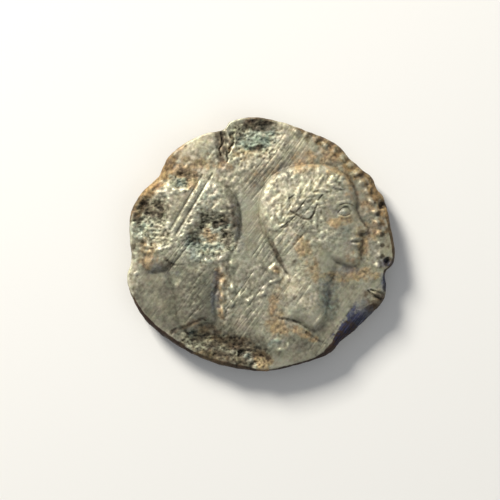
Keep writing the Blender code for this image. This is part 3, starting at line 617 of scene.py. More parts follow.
def spline(points, closed):
    """A smooth line through points."""
    nodes = np.array(points, float)
    before, after, beyond = (np.roll(nodes, shift, axis=0) for shift in (1, -1, -2))
    if not closed:
        before[0], after[-1], beyond[-2:] = nodes[0], nodes[-1], nodes[-1]
    share = np.arange(SPLINE_STEPS)[:, None, None] / SPLINE_STEPS
    line = 0.5 * (2 * nodes + (after - before) * share
                  + (2 * before - 5 * nodes + 4 * after - beyond) * share ** 2
                  + (3 * nodes - before - 3 * after + beyond) * share ** 3)
    line = line.transpose(1, 0, 2).reshape(-1, 2)
    return line if closed else line[:1 - SPLINE_STEPS]


def around(table, angle):
    """A smooth value round the coin, through the table's (degrees, value) pairs."""
    degrees, values = np.array(table, float).T
    degrees = np.concatenate([degrees - 360, degrees, degrees + 360])
    values = np.tile(values, 3)
    angle = np.degrees(angle) % 360
    k = np.searchsorted(degrees, angle, side="right") - 1
    gap = degrees[k + 1] - degrees[k]
    share = (angle - degrees[k]) / gap
    leaving = (values[k + 1] - values[k - 1]) / (degrees[k + 1] - degrees[k - 1]) * gap
    arriving = (values[k + 2] - values[k]) / (degrees[k + 2] - degrees[k]) * gap
    return ((2 * share ** 3 - 3 * share ** 2 + 1) * values[k]
            + (share ** 3 - 2 * share ** 2 + share) * leaving
            + (3 * share ** 2 - 2 * share ** 3) * values[k + 1]
            + (share ** 3 - share ** 2) * arriving)


def off_segment(x, y, start, end):
    """Where along a segment each point is nearest to it, from 0 to 1, and how far off it lies."""
    run, rise = end[0] - start[0], end[1] - start[1]
    share = np.clip(((x - start[0]) * run + (y - start[1]) * rise) / (run ** 2 + rise ** 2), 0, 1)
    return share, np.hypot(x - start[0] - share * run, y - start[1] - share * rise)


def depth_inside(x, y, line):
    """Distance to a closed line, positive inside it."""
    nearest = np.full(x.shape, np.inf)
    inside = np.zeros(x.shape, bool)
    for start, end in zip(line, np.roll(line, -1, axis=0)):
        nearest = np.minimum(nearest, off_segment(x, y, start, end)[1])
        if start[1] != end[1]:
            crossing = (end[0] - start[0]) * (y - start[1]) / (end[1] - start[1]) + start[0]
            inside ^= ((start[1] > y) != (end[1] > y)) & (x < crossing)
    return np.where(inside, nearest, -nearest)


def stroke(x, y, line, start_width, end_width):
    """A ridge along an open line: 1 on its crest and 0 past its half width, which may taper."""
    line = np.array(line, float)
    reach = max(start_width, end_width)
    low, high = line.min(axis=0) - reach, line.max(axis=0) + reach
    near = (x > low[0]) & (x < high[0]) & (y > low[1]) & (y < high[1])
    px, py = x[near], y[near]
    crest = np.zeros(px.shape)
    steps = len(line) - 1
    for k in range(steps):
        share, off = off_segment(px, py, line[k], line[k + 1])
        width = start_width + (end_width - start_width) * (k + share) / steps
        crest = np.maximum(crest, 1 - (off / width) ** 2)
    ridge = np.zeros(x.shape)
    ridge[near] = crest
    return ridge


def ridges(x, y, lines, width, taper, curved=False):
    """Ridges along several lines, whose half widths go from one share of width to another."""
    start, end = (share * width for share in taper)
    return np.max([stroke(x, y, spline(line, closed=False) if curved else line, start, end)
                   for line in lines], axis=0)


def elliptic(x, y, ellipse, growth=1):
    """Distance from an ellipse's centre, counted in its radii."""
    across, up, wide, high, turn = ellipse
    cos, sin = math.cos(math.radians(turn)), math.sin(math.radians(turn))
    dx, dy = x - across, y - up
    return np.hypot((dx * cos + dy * sin) / (wide * growth), (dy * cos - dx * sin) / (high * growth))


def cap(x, y, ellipse, growth=1):
    """1 at an ellipse's centre, falling to 0 at its radii as a parabola does."""
    return np.clip(1 - elliptic(x, y, ellipse, growth) ** 2, 0, 1)


def mound(x, y, ellipse):
    """1 at an ellipse's centre, falling smoothly to 0 at its radii."""
    return cap(x, y, ellipse) ** 2


def dome(depth, width):
    """A quarter-round shoulder, as wide as width, inside an outline."""
    return np.sqrt(1 - (1 - np.clip(depth / width, 0, 1)) ** 2)


def chance_at(column, row, seed):
    """A fixed random value from 0 to 1 for each cell of a lattice."""
    of_column, of_row, of_seed, of_all = SCATTERERS
    mixed = (column * of_column + row * of_row + seed * of_seed) & 0xFFFFFFFF
    mixed = ((mixed ^ (mixed >> 13)) * of_all) & 0xFFFFFFFF
    return ((mixed ^ (mixed >> 16)) & 0xFFFF) / 0xFFFF


def lumps(x, y, size, seed):
    """Smooth random lumps about as wide as size, from -1 to 1."""
    x, y = x / size + LATTICE_SHIFT, y / size + LATTICE_SHIFT
    column, row = np.floor(x).astype(np.int64), np.floor(y).astype(np.int64)
    x, y = smooth_step(0, 1, x - column), smooth_step(0, 1, y - row)
    low, high = (chance_at(column, level, seed) * (1 - x) + chance_at(column + 1, level, seed) * x
                 for level in (row, row + 1))
    return 2 * (low * (1 - y) + high * y) - 1


def rough(x, y, size, seed, octaves=3):
    """Lumps of several sizes, each half as wide and half as high as the one before."""
    total, whole = 0, 0
    for k in range(octaves):
        turn = OCTAVE_TURNS[0] + OCTAVE_TURNS[1] * k
        cos, sin = math.cos(turn), math.sin(turn)
        total = total + lumps(x * cos - y * sin, x * sin + y * cos, size / 2 ** k, seed + k) / 2 ** k
        whole += 1 / 2 ** k
    return total / whole


def streaks(x, y, seed):
    """Fine lines drawn across the metal by wear, nearly all at one angle, from -1 to 1."""
    cos, sin = math.cos(math.radians(SCRATCH_TURN)), math.sin(math.radians(SCRATCH_TURN))
    along, across = (x * cos + y * sin) * STREAK_WIDTH / STREAK_LENGTH, y * cos - x * sin
    fine, broad = (lumps(along, across, width * STREAK_WIDTH, seed + k)
                   for k, width in enumerate((1, BROAD_STREAK)))
    return (1 - BROAD_STREAK_SHARE) * fine + BROAD_STREAK_SHARE * broad


class Flan:
    """The coin's measure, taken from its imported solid."""

    def __init__(self, low, high):
        angle = np.radians(np.arange(0, 360, SILHOUETTE_STEP))
        reach = around(SILHOUETTE, angle)
        x, y = reach * np.cos(angle), reach * np.sin(angle)
        self.radius = (high[0] - low[0]) / (x.max() - x.min())
        self.middle = ((x.max() + x.min()) / 2, (y.max() + y.min()) / 2)
        self.rest = low[2]


def hair_locks(a, b, spacing, seed):
    """Short curved locks in rings round the whorl."""
    chance = random.Random(seed)
    locks = np.zeros(a.shape)
    row = 0
    ring = spacing
    while ring < HAIR_REACH:
        count = int(2 * math.pi * ring / spacing)
        for k in range(count):
            turn = 2 * math.pi * (k + row / 2 % 1 + chance.uniform(-LOCK_SHIFT, LOCK_SHIFT)) / count
            length = chance.uniform(*LOCK_LENGTHS) * spacing
            line = []
            for share in (0, 0.25, 0.5, 0.75, 1):
                out = ring + length * (share - 0.5)
                swirl = turn + LOCK_CURL * share ** 2 / ring
                line.append((WHORL[0] + out * math.cos(swirl), WHORL[1] + out * math.sin(swirl)))
            crest = ridges(a, b, (line,), spacing, LOCK_TAPER)
            locks = np.maximum(locks, crest * chance.uniform(LEAST_LOCK, 1))
        ring += spacing
        row += 1
    return locks


def laurel_leaves(a, b):
    """Pairs of pointed leaves along the wreath, their tips towards the forehead."""
    leaves = np.zeros(a.shape)
    line = spline(WREATH_LINE, closed=False)
    for k in range(LEAF_PAIRS):
        place = 1 + round(k * (len(line) - 2) / (LEAF_PAIRS - 1))
        root, before = line[place], line[place - 1]
        heading = math.atan2(before[1] - root[1], before[0] - root[0])
        for side in (-1, 1):
            turn = heading + side * math.radians(LEAF_TURN)
            reach = LEAF_LENGTH * np.array((math.cos(turn), math.sin(turn)))
            middle, tip = root + LEAF_BELLY * reach, root + reach
            for ends, taper in (((root, middle), LEAF_ROOT), ((middle, tip), LEAF_TIP)):
                leaves = np.maximum(leaves, ridges(a, b, (ends,), LEAF_WIDTH, taper))
    return leaves


def portrait(u, v, radius, head, laurelled, seed):
    """A head and neck in profile: 0 on the field, about 1 at its highest."""
    across, up, facing, tilt, crispness, height = head
    size = height / radius
    cos, sin = math.cos(math.radians(tilt)), math.sin(math.radians(tilt))
    dx, dy = facing * (u - across) / size, (v - up) / size
    a, b = dx * cos + dy * sin, dy * cos - dx * sin
    skull, neck, hair = (depth_inside(a, b, spline(line, closed=True))
                         for line in (HEAD_LINE, NECK_LINE, HAIR_LINE))
    face = sum(rise * mound(a, b, ellipse) for *ellipse, rise in FACE_MOUNDS)
    for line, start_width, end_width, rise in FACE_STROKES:
        face += rise * stroke(a, b, spline(line, closed=False), start_width, end_width)
    rounds = sum((rise ** 2 * cap(a, b, ellipse)) ** 2 for *ellipse, rise in ROUND_FORMS)
    head_form = dome(skull, OUTLINE_ROUND) * (OUTLINE_RISE + rounds ** 0.25)
    head_form += crispness * face * smooth_step(0, FACE_MARGIN, skull)
    neck_form = dome(neck, NECK_SHOULDER) * (NECK_RISE + NECK_ROUND * stroke(a, b, NECK_AXIS, *NECK_WIDTHS))
    combed = smooth_step(*HAIR_MARGIN, hair) * smooth_step(*HAIR_OVERHANG, skull)
    if laurelled:
        leaves = laurel_leaves(a, b)
        head_form += LEAF_RISE * leaves * smooth_step(*LEAF_MARGIN, skull)
        combed *= 1 - smooth_step(*LEAF_SHADE, leaves)
        ribbons = ridges(a, b, RIBBONS, RIBBON_WIDTH, (1, 1), curved=True)
        neck_form = np.maximum(neck_form, RIBBON_RISE * ribbons)
    head_form += crispness * combed * LOCK_RISE * hair_locks(a, b, LOCK_SPACING / height, seed)
    return np.maximum(head_form, neck_form)


def beads(u, v, radius, inset, extra_turn=0):
    """A dotted border along its arc, so far inside the flan's edge; extra_turn moves its start."""
    first, last = BORDER_ARC
    ring = 1 - inset / radius
    dots = np.zeros(u.shape)
    bead = BEAD_RADIUS / radius
    step = math.degrees(BEAD_SPACING / radius / ring)
    for degrees in np.arange(first - extra_turn, last, -step):
        turn = math.radians(degrees)
        dots += mound(u, v, (ring * math.cos(turn), ring * math.sin(turn), bead, bead, 0))
    return dots


def hollow(u, v, ellipse, raggedness):
    """A corroded hollow with a ragged outline: 1 on its floor, 0 outside it."""
    bearing = np.arctan2(v - ellipse[1], u - ellipse[0])
    three, five, fine = HOLLOW_RAGS
    ragged = 1 + three * np.sin(3 * bearing + 2 * raggedness) + five * np.sin(5 * bearing + raggedness)
    ragged = ragged + fine * rough(u, v, HOLLOW_RAG_SIZE, seed=20 + raggedness)
    return smooth_step(*HOLLOW_WALL, elliptic(u, v, ellipse) * ragged)


def spread(u, v, table, seed):
    """Where a stain lies: the strongest of its patches, with a ragged edge."""
    (broad, broad_size), (fine, fine_size) = STAIN_RAGS
    ragged = broad * rough(u, v, broad_size, seed) + fine * rough(u, v, fine_size, seed + 9, octaves=2)
    patches = [strength * cap(u, v, ellipse, STAIN_GROWTH) for *ellipse, strength in table]
    return np.clip(np.max(patches, axis=0) * (1 + ragged), 0, 1)


def scratches(u, v, radius, seed):
    """Fine parallel scratches in groups, nearly all at one angle: how deep, from 0."""
    chance = random.Random(seed)
    cut = np.zeros(u.shape)
    for across, up, length, width, count, depth in SCRATCH_GROUPS:
        for _ in range(count):
            turn = math.radians(SCRATCH_TURN + chance.gauss(0, SCRATCH_WAVER))
            along = np.array((math.cos(turn), math.sin(turn)))
            aside = np.array((-along[1], along[0]))
            middle = np.array((across, up)) + aside * chance.uniform(-0.5, 0.5) * width
            middle = middle + along * chance.uniform(-SCRATCH_SHIFT, SCRATCH_SHIFT) * length
            half = along * length * chance.uniform(*SCRATCH_LENGTHS)
            blade = SCRATCH_WIDTH / radius / 2 * chance.uniform(*SCRATCH_WIDTHS)
            deep = depth * chance.uniform(*SCRATCH_DEPTHS)
            line = (middle - half, middle + half)
            cut = np.maximum(cut, deep * ridges(u, v, (line,), blade, SCRATCH_TAPER))
    return cut


def obverse(u, v, flan):
    """Height of the obverse above the resting level as it left the die, and how far the heads stand up."""
    right = portrait(u, v, flan.radius, RIGHT_HEAD, laurelled=True, seed=3)
    left = portrait(u, v, flan.radius, LEFT_HEAD, laurelled=False, seed=8)
    height = FIELD_THICKNESS - EDGE_THINNING * np.hypot(u, v) ** EDGE_FALL
    height += RIGHT_HEAD_RELIEF * right + LEFT_HEAD_RELIEF * left
    wear = BEAD_WEAR[0] + BEAD_WEAR[1] * rough(u, v, BEAD_WEAR_SIZE, seed=5)
    height += BEAD_RELIEF * beads(u, v, flan.radius, BORDER_INSET) * np.clip(wear, LEAST_BEAD, 1)
    for *ellipse, share in MARKS:
        height += MARK_RELIEF * share * mound(u, v, ellipse)
    return height, np.maximum(right, left)


def stained(u, v, flan, heads):
    """The masks of the stains, crusts, textures, painted shade and painted highlights that lie on the
    obverse.
    """
    masks = {name: spread(u, v, table, seed) for seed, (name, table) in enumerate(STAINS.items(), start=31)}
    masks["granular"] = np.clip(smooth_step(*GRAINY_HEADS, heads) + masks["granular"], 0, 1)
    masks["granular"] *= 1 - SMOOTHED_SHARE * masks.pop("smooth")
    # Painted shadows of the beads, a little round from them and nearer the edge
    gaps = beads(u, v, flan.radius, GAP_INSET, GAP_TURN)
    masks["darkness"] = np.maximum(masks["darkness"], GAP_SHADOW * gaps)
    masks["cream"] = np.maximum(masks["cream"], BEAD_POLISH * beads(u, v, flan.radius, BORDER_INSET))
    return masks


def corrode(u, v, flan, struck, heads):
    """The obverse's height after wear and burial, and the masks of what lies on it."""
    x, y = u * flan.radius, v * flan.radius
    masks = stained(u, v, flan, heads)
    granular, crusted = masks["granular"], np.maximum(masks["rust"], masks["cream"])
    height = struck + SWELL_DEPTH * rough(x, y, SWELL_SIZE, seed=11)
    height += PITTING_DEPTH * rough(x, y, PITTING_SIZE, seed=12)
    grain = LEAST_GRAIN + (1 - LEAST_GRAIN) * granular
    height += GRAIN_DEPTH * grain * rough(x, y, GRAIN_SIZE, seed=13, octaves=2)
    height += STREAK_DEPTH * (1 - STREAKS_LOST * granular) * streaks(x, y, seed=52)
    height += CRUST_DEPTH * crusted * (rough(x, y, CRUST_SIZE, seed=14, octaves=2) + CRUST_LIFT)

    gouge, crack = GOUGE_WIDTH / flan.radius / 2, CRACK_WIDTH / flan.radius / 2
    astray, aside = (WANDER * rough(u, v, WANDER_SIZE, seed) for seed in (16, 17))
    patchiness = CREASE_PATCHINESS[0] + CREASE_PATCHINESS[1] * rough(u, v, WANDER_SIZE, seed=19)
    creases = patchiness * ridges(u + astray, v + aside, GROOVES, gouge, GROOVE_TAPER, curved=True)
    cuts = ridges(u + CUT_WANDER * astray, v + CUT_WANDER * aside, CUTS, gouge, CUT_TAPER, curved=True)
    height -= GROOVE_DEPTH * creases + CUT_DEPTH * cuts
    # The creases and cuts are painted dark, with dirt and painted shade
    masks["darkness"] = np.max([masks["darkness"], CREASE_DARKNESS * creases, CUT_DARKNESS * cuts], axis=0)
    height -= SCRATCH_DEPTH * scratches(u, v, flan.radius, seed=7)
    height -= CRACK_DEPTH * patchiness * ridges(u + CRACK_WANDER * astray, v + aside, CRACKS, crack, CRACK_TAPER)
    for across, up, ring, width, share in RINGS:
        off = np.hypot(u - across + RING_WANDER * astray, v - up) - ring
        height += MARK_RELIEF * share * np.clip(1 - (off / width) ** 2, 0, 1)

    sunk, craggy = np.zeros(u.shape), np.zeros(u.shape)
    for k, (*ellipse, share, crags) in enumerate(HOLLOWS):
        here = hollow(u, v, ellipse, k)
        height -= here * (HOLLOW_DEPTH * share + HOLLOW_WEAR * (height - FIELD_THICKNESS))
        eaten = smooth_step(0, HOLLOW_SLOPE, here)
        sunk = np.maximum(sunk, eaten)
        craggy = np.maximum(craggy, crags * eaten)
        brink = smooth_step(*HOLLOW_BRINK, elliptic(u, v, ellipse))
        height += GRAIN_DEPTH * brink * (1 - here) * rough(x, y, GRAIN_SIZE, seed=53, octaves=2)
        masks["granular"] = np.maximum(masks["granular"], brink)
    rise, furrows, crests = CRYSTAL_SHARES
    one, other = (rough(x, CRYSTAL_STRETCH * y, CRYSTAL_SIZE, seed) for seed in (15, 51))
    height += CRYSTAL_DEPTH * craggy * (rise - furrows * np.abs(one) + crests * other)

    scraped = smooth_step(0, SCRAPE_SLOPE, ridges(u, v, GOUGES, gouge, SCRAPE_TAPER))
    height += SCRAPE_SHARE * scraped * (struck - height)
    height -= GOUGE_DEPTH * ridges(u, v, GOUGES, gouge, GOUGE_TAPER)
    for across, up, wide, share in PINHOLES:
        hole = mound(u + PINHOLE_WANDER * astray, v + PINHOLE_WANDER * aside, (across, up, wide, wide, 0))
        height -= HOLLOW_DEPTH * share * hole
        masks["darkness"] = np.clip(masks["darkness"] + PINHOLE_DARKNESS * hole, 0, 1)
    return height, dict(masks, corroded=sunk)


def altar(x, y):
    """The altar with its flames: above 1 inside them, and 0 well outside."""
    relief = np.zeros(x.shape)
    for left, low, right, high in ALTAR_BLOCKS:
        block = depth_inside(x, y, ((left, low), (right, low), (right, high), (left, high)))
        relief = np.maximum(relief, smooth_step(*ALTAR_MARGIN, block))
    return ALTAR_RISE * np.maximum(relief, ridges(x, y, ALTAR_FLAMES, 1, FLAME_WIDTHS))


def worn_strokes(radius, ring):
    """The lines of the short strokes that stand side by side inside a ring."""
    length = STROKE_LENGTH / radius
    inner = ring - 2 * BEAD_RADIUS / radius - length
    step = math.degrees(STROKE_SPACING / radius / inner)
    for first, last in STROKE_ARCS:
        for k, degrees in enumerate(np.arange(first, last, step)):
            turn, lean = math.radians(degrees), math.radians(degrees + STROKE_LEANS[k % len(STROKE_LEANS)])
            outer = inner + length * STROKE_SHARES[k % len(STROKE_SHARES)]
            yield ((inner * math.cos(turn), inner * math.sin(turn)),
                   (outer * math.cos(lean), outer * math.sin(lean)))


def reverse(u, v, flan):
    """Height of the worn reverse above the resting level, where altar and border are rubbed flat."""
    size = ALTAR_HEIGHT / flan.radius
    ring = 1 - (BORDER_INSET + REVERSE_SLOPE) / flan.radius
    strokes = ridges(u, v, worn_strokes(flan.radius, ring), STROKE_WIDTH / flan.radius / 2, (1, 1))
    scallops = round(2 * math.pi * ring * flan.radius / BEAD_SPACING)
    border = BORDER_RISE + SCALLOP_RISE * np.cos(scallops * np.arctan2(v, u))
    border -= np.abs(np.hypot(u, v) - ring) / (BEAD_RADIUS / flan.radius)
    relief = np.max([altar(u / size, v / size), STROKE_RISE * strokes, border], axis=0)
    fall = REVERSE_THINNING * np.hypot(u, v) ** REVERSE_FALL
    height = (REVERSE_RELIEF + fall) * (1 - np.clip(relief, 0, 1))

    x, y = u * flan.radius, v * flan.radius
    height += PITTING_DEPTH * (1 + rough(x, y, PITTING_SIZE, seed=41))
    height += SWELL_DEPTH / 2 * (1 + rough(x, y, SWELL_SIZE, seed=42))
    start, full, patch_size = REVERSE_PATCHES
    patchy = smooth_step(start, full, rough(u, v, patch_size, seed=43))
    height += CRYSTAL_DEPTH / 2 * patchy * np.abs(rough(x, y, CRYSTAL_SIZE, seed=44))
    masks = {"corroded": patchy}
    for seed, (name, (strength, start, full, patch_size)) in enumerate(REVERSE_STAINS.items(), start=45):
        masks[name] = strength * smooth_step(start, full, rough(u, v, patch_size, seed))
    masks["verdigris"] *= patchy
    return height, masks


def square_to_disc(x, y):
    """Radius and angle on a unit disc for a point of the square from -1 to 1."""
    wide = np.abs(x) >= np.abs(y)
    radius = np.maximum(np.abs(x), np.abs(y))
    longer = np.where(radius == 0, 1, np.where(wide, x, y))
    angle = math.pi / 4 * np.where(wide, y / longer, 2 - x / longer)
    return radius, np.where(longer < 0, angle + math.pi, angle)


def cut_edges(piece, pieces, wanted):
    """Cuts the edges for which wanted(first end, second end) is true into a number of pieces."""
    bpy.ops.mesh.select_all(action="DESELECT")
    bpy.ops.mesh.select_mode(type="EDGE")
    shape = bmesh.from_edit_mesh(piece.data)
    for edge in shape.edges:
        edge.select = wanted(*(end.co for end in edge.verts))
    bmesh.update_edit_mesh(piece.data)
    bpy.ops.mesh.subdivide(number_cuts=pieces - 1)


def blank():
    """A cube with gridded faces, finer on top, which strike() turns into the coin."""
    bpy.ops.object.select_all(action="DESELECT")
    bpy.ops.mesh.primitive_cube_add(size=2)
    piece = bpy.context.object
    piece.name = "struck_coin"
    bpy.ops.object.mode_set(mode="EDIT")
    for cells in FACE_CELLS:
        cut_edges(piece, cells, lambda one, other: one.z == other.z)
    cut_edges(piece, EDGE_RINGS, lambda one, other: one.z != other.z)
    cut_edges(piece, 2, lambda one, other: one.z == 1 and other.z == 1)
    bpy.ops.object.mode_set(mode="OBJECT")
    return piece


def strike(piece, flan):
    """Moves the blank's points to the flan's outline and the two faces' relief, and keeps the masks."""
    mesh = piece.data
    points = np.empty(len(mesh.vertices) * 3)
    mesh.vertices.foreach_get("co", points)
    x, y, z = points.reshape(-1, 3).T
    radius, angle = square_to_disc(x, y)
    top, bottom = z >= 0, z < 0
    slope = np.where(top, around(OBVERSE_SLOPE, angle), REVERSE_SLOPE / flan.radius)
    inner = radius * (around(SILHOUETTE, angle) - slope)
    u, v = inner * np.cos(angle), inner * np.sin(angle)
    face_level, heads = np.full(len(x), FIELD_THICKNESS), np.zeros(len(x))
    face_level[top], heads[top] = obverse(u[top], v[top], flan)
    face_level = smoothed(mesh, face_level, WEAR_ROUNDS)
    face_level[top], masks_above = corrode(u[top], v[top], flan, face_level[top], heads[top])
    face_level[bottom], masks_below = reverse(u[bottom], v[bottom], flan)

    down = math.pi / 2 * (1 - np.abs(z))
    level = GIRTH_HEIGHT + (face_level - GIRTH_HEIGHT) * np.cos(down) ** EDGE_POWER
    reach = inner + slope * np.sin(down) ** EDGE_POWER
    drift = EDGE_LEAN * z
    crumbling = EDGE_CRUMBLE * rough(u * flan.radius + drift, v * flan.radius - drift, CRUST_SIZE,
                                     seed=18, octaves=2)
    level += np.sin(2 * down) * crumbling
    reach += np.sin(down) * crumbling / flan.radius
    place = [reach * np.cos(angle) - flan.middle[0], reach * np.sin(angle) - flan.middle[1]]
    points = np.column_stack([place[0] * flan.radius, place[1] * flan.radius, level + flan.rest])
    mesh.vertices.foreach_set("co", points.ravel())
    mesh.update()

    # How dark the rim is painted: its dark red-brown with painted shade, strongest away from the key lamp
    rim_dark = around(RIM_DARKNESS, angle)
    onset = np.clip(around(RIM_ONSET, angle), 0, MOST_ONSET)
    painted = RIM_SHARPNESS * (1 - np.abs(z) - onset)
    brink = RIM_PAINT * (1 - rim_dark) * (1 - onset / MOST_ONSET) * smooth_step(*RIM_BRINK, radius)
    masks = {"edge": np.clip(np.maximum(painted, brink), 0, MOST_RIM_PAINT), "rim_dark": rim_dark}
    for name, above in masks_above.items():
        masks[name] = np.zeros(len(x))
        masks[name][top], masks[name][bottom] = above, masks_below.get(name, 0)
    # How far each point lies below its smoothed neighbours: it pales rubbed crests and paints dirt and
    # shade into recesses
    for name, rounds in RECESS_ROUNDS.items():
        masks[name] = (smoothed(mesh, level, rounds) - level) / RECESS_UNIT
    for name, mask in masks.items():
        mesh.attributes.new(name, "FLOAT", "POINT").data.foreach_set("value", mask.astype(np.float32))


def smoothed(mesh, level, rounds):
    """Values at the mesh's points, each averaged with its neighbours' a number of times."""
    ends = np.empty(len(mesh.edges) * 2, int)
    mesh.edges.foreach_get("vertices", ends)
    one, other = ends.reshape(-1, 2).T
    ties = np.bincount(ends, minlength=len(level))
    for _ in range(rounds):
        total = np.bincount(one, level[other], len(level)) + np.bincount(other, level[one], len(level))
        level = (1 - SMOOTHING) * level + SMOOTHING * total / ties
    return level


def colour(red, green, blue):
    """A colour as seen on a screen, 0 to 255, as the linear values that shaders take, by the sRGB curve."""
    shares = np.array((red, green, blue)) / 255
    linear = np.where(shares <= 0.04045, shares / 12.92, ((shares + 0.055) / 1.055) ** 2.4)
    return (*linear.tolist(), 1)


class Tree:
    """A node tree with short calls for making and joining its nodes."""

    def __init__(self, tree):
        self.tree = tree

    def join(self, value, socket):
        """Gives a socket its value, which is another socket, a number or a colour."""
        if isinstance(value, bpy.types.NodeSocket):
            self.tree.links.new(value, socket)
        else:
            socket.default_value = value

    def node(self, kind, inputs=(), **settings):
        made = self.tree.nodes.new(kind)
        for name, value in settings.items():
            setattr(made, name, value)
        for name, value in dict(inputs).items():
            self.join(value, made.inputs[name])
        return made

    def maths(self, operation, *values, clamp=False):
        made = self.node("ShaderNodeMath", enumerate(values), operation=operation, use_clamp=clamp)
        return made.outputs[0]

    def step(self, value, low, high, to_low=0.0, to_high=1.0):
        inputs = {"Value": value, "From Min": low, "From Max": high, "To Min": to_low, "To Max": to_high}
        return self.node("ShaderNodeMapRange", inputs, interpolation_type="SMOOTHSTEP").outputs["Result"]

    def mix(self, share, below, above, **settings):
        inputs = {0: share, 6: below, 7: above}
        return self.node("ShaderNodeMix", inputs, data_type="RGBA", **settings).outputs[2]

    def coat(self, below, cover, strength, above):
        """Paint laid over other paint, where cover says and as thickly as strength allows."""
        return self.mix(self.maths("MULTIPLY", cover, strength), below, above)

    def noise(self, size, seed, detail, output="Fac"):
        place = self.node("ShaderNodeTexCoord").outputs["Object"]
        inputs = {"Vector": place, "Scale": self.maths("DIVIDE", 1.0, size), "Detail": detail, "W": seed}
        return self.node("ShaderNodeTexNoise", inputs, noise_dimensions="4D").outputs[output]

    def mask(self, name):
        return self.node("ShaderNodeAttribute", attribute_name=name).outputs["Fac"]

    def use(self, group, **inputs):
        given = {name.capitalize(): value for name, value in inputs.items()}
        return self.node("ShaderNodeGroup", given, node_tree=group).outputs[0]

    def shade(self, share, colours):
        """A colour between the dark and the light one of a pair."""
        return self.mix(share, *(colour(*shade) for shade in colours))


def new_group(name, inputs, output):
    """A shader node group with named inputs and one output; returns it, its Tree and both ends."""
    group = bpy.data.node_groups.new(name, "ShaderNodeTree")
    for title in inputs:
        group.interface.new_socket(title, in_out="INPUT", socket_type="NodeSocketFloat")
    group.interface.new_socket(output, in_out="OUTPUT", socket_type="NodeSocketFloat")
    tree = Tree(group)
    return group, tree, tree.node("NodeGroupInput").outputs, tree.node("NodeGroupOutput").inputs[output]


def mottle_group():
    """Blotches of a given size in metres, from 0 to 1, different for each seed."""
    group, tree, given, result = new_group("mottle", ("Size", "Sharpness", "Seed"), "Value")
    noise = tree.noise(given["Size"], given["Seed"], MOTTLE_DETAIL)
    low, high = (tree.maths(way, 0.5, given["Sharpness"]) for way in ("SUBTRACT", "ADD"))
    tree.join(tree.step(noise, low, high), result)
    return group


def streak_group():
    """Long thin streaks that all run one way across the coin, from 0 to 1."""
    group, tree, given, result = new_group("streaks", ("Width", "Length"), "Value")
    place = tree.node("ShaderNodeTexCoord").outputs["Object"]
    turned = tree.node("ShaderNodeVectorRotate", {"Vector": place, "Angle": math.radians(-SCRATCH_TURN)},
                       rotation_type="Z_AXIS").outputs["Vector"]
    thin, long = (tree.maths("DIVIDE", 1.0, given[name]) for name in ("Width", "Length"))
    stretch = tree.node("ShaderNodeCombineXYZ", {"X": long, "Y": thin, "Z": long}).outputs["Vector"]
    drawn = tree.node("ShaderNodeVectorMath", {0: turned, 1: stretch}, operation="MULTIPLY")
    inputs = {"Vector": drawn.outputs["Vector"], "Scale": 1.0, "Detail": STREAK_DETAIL}
    noise = tree.node("ShaderNodeTexNoise", inputs).outputs["Fac"]
    tree.join(tree.step(noise, *STREAK_RANGE), result)
    return group


def glaze_group():
    """How thickly a stain lies: its mask, broken up by blotches of a given size in metres."""
    group, tree, given, result = new_group("glaze", ("Mask", "Size", "Seed"), "Cover")
    noise = tree.maths("SUBTRACT", tree.noise(given["Size"], given["Seed"], GLAZE_DETAIL), 0.5)
    broken = tree.maths("MULTIPLY_ADD", noise, GLAZE_BREAKUP, given["Mask"])
    cover = tree.maths("MULTIPLY", tree.step(broken, *GLAZE_RANGE), tree.step(given["Mask"], *GLAZE_EDGE))
    tree.join(cover, result)
    return group


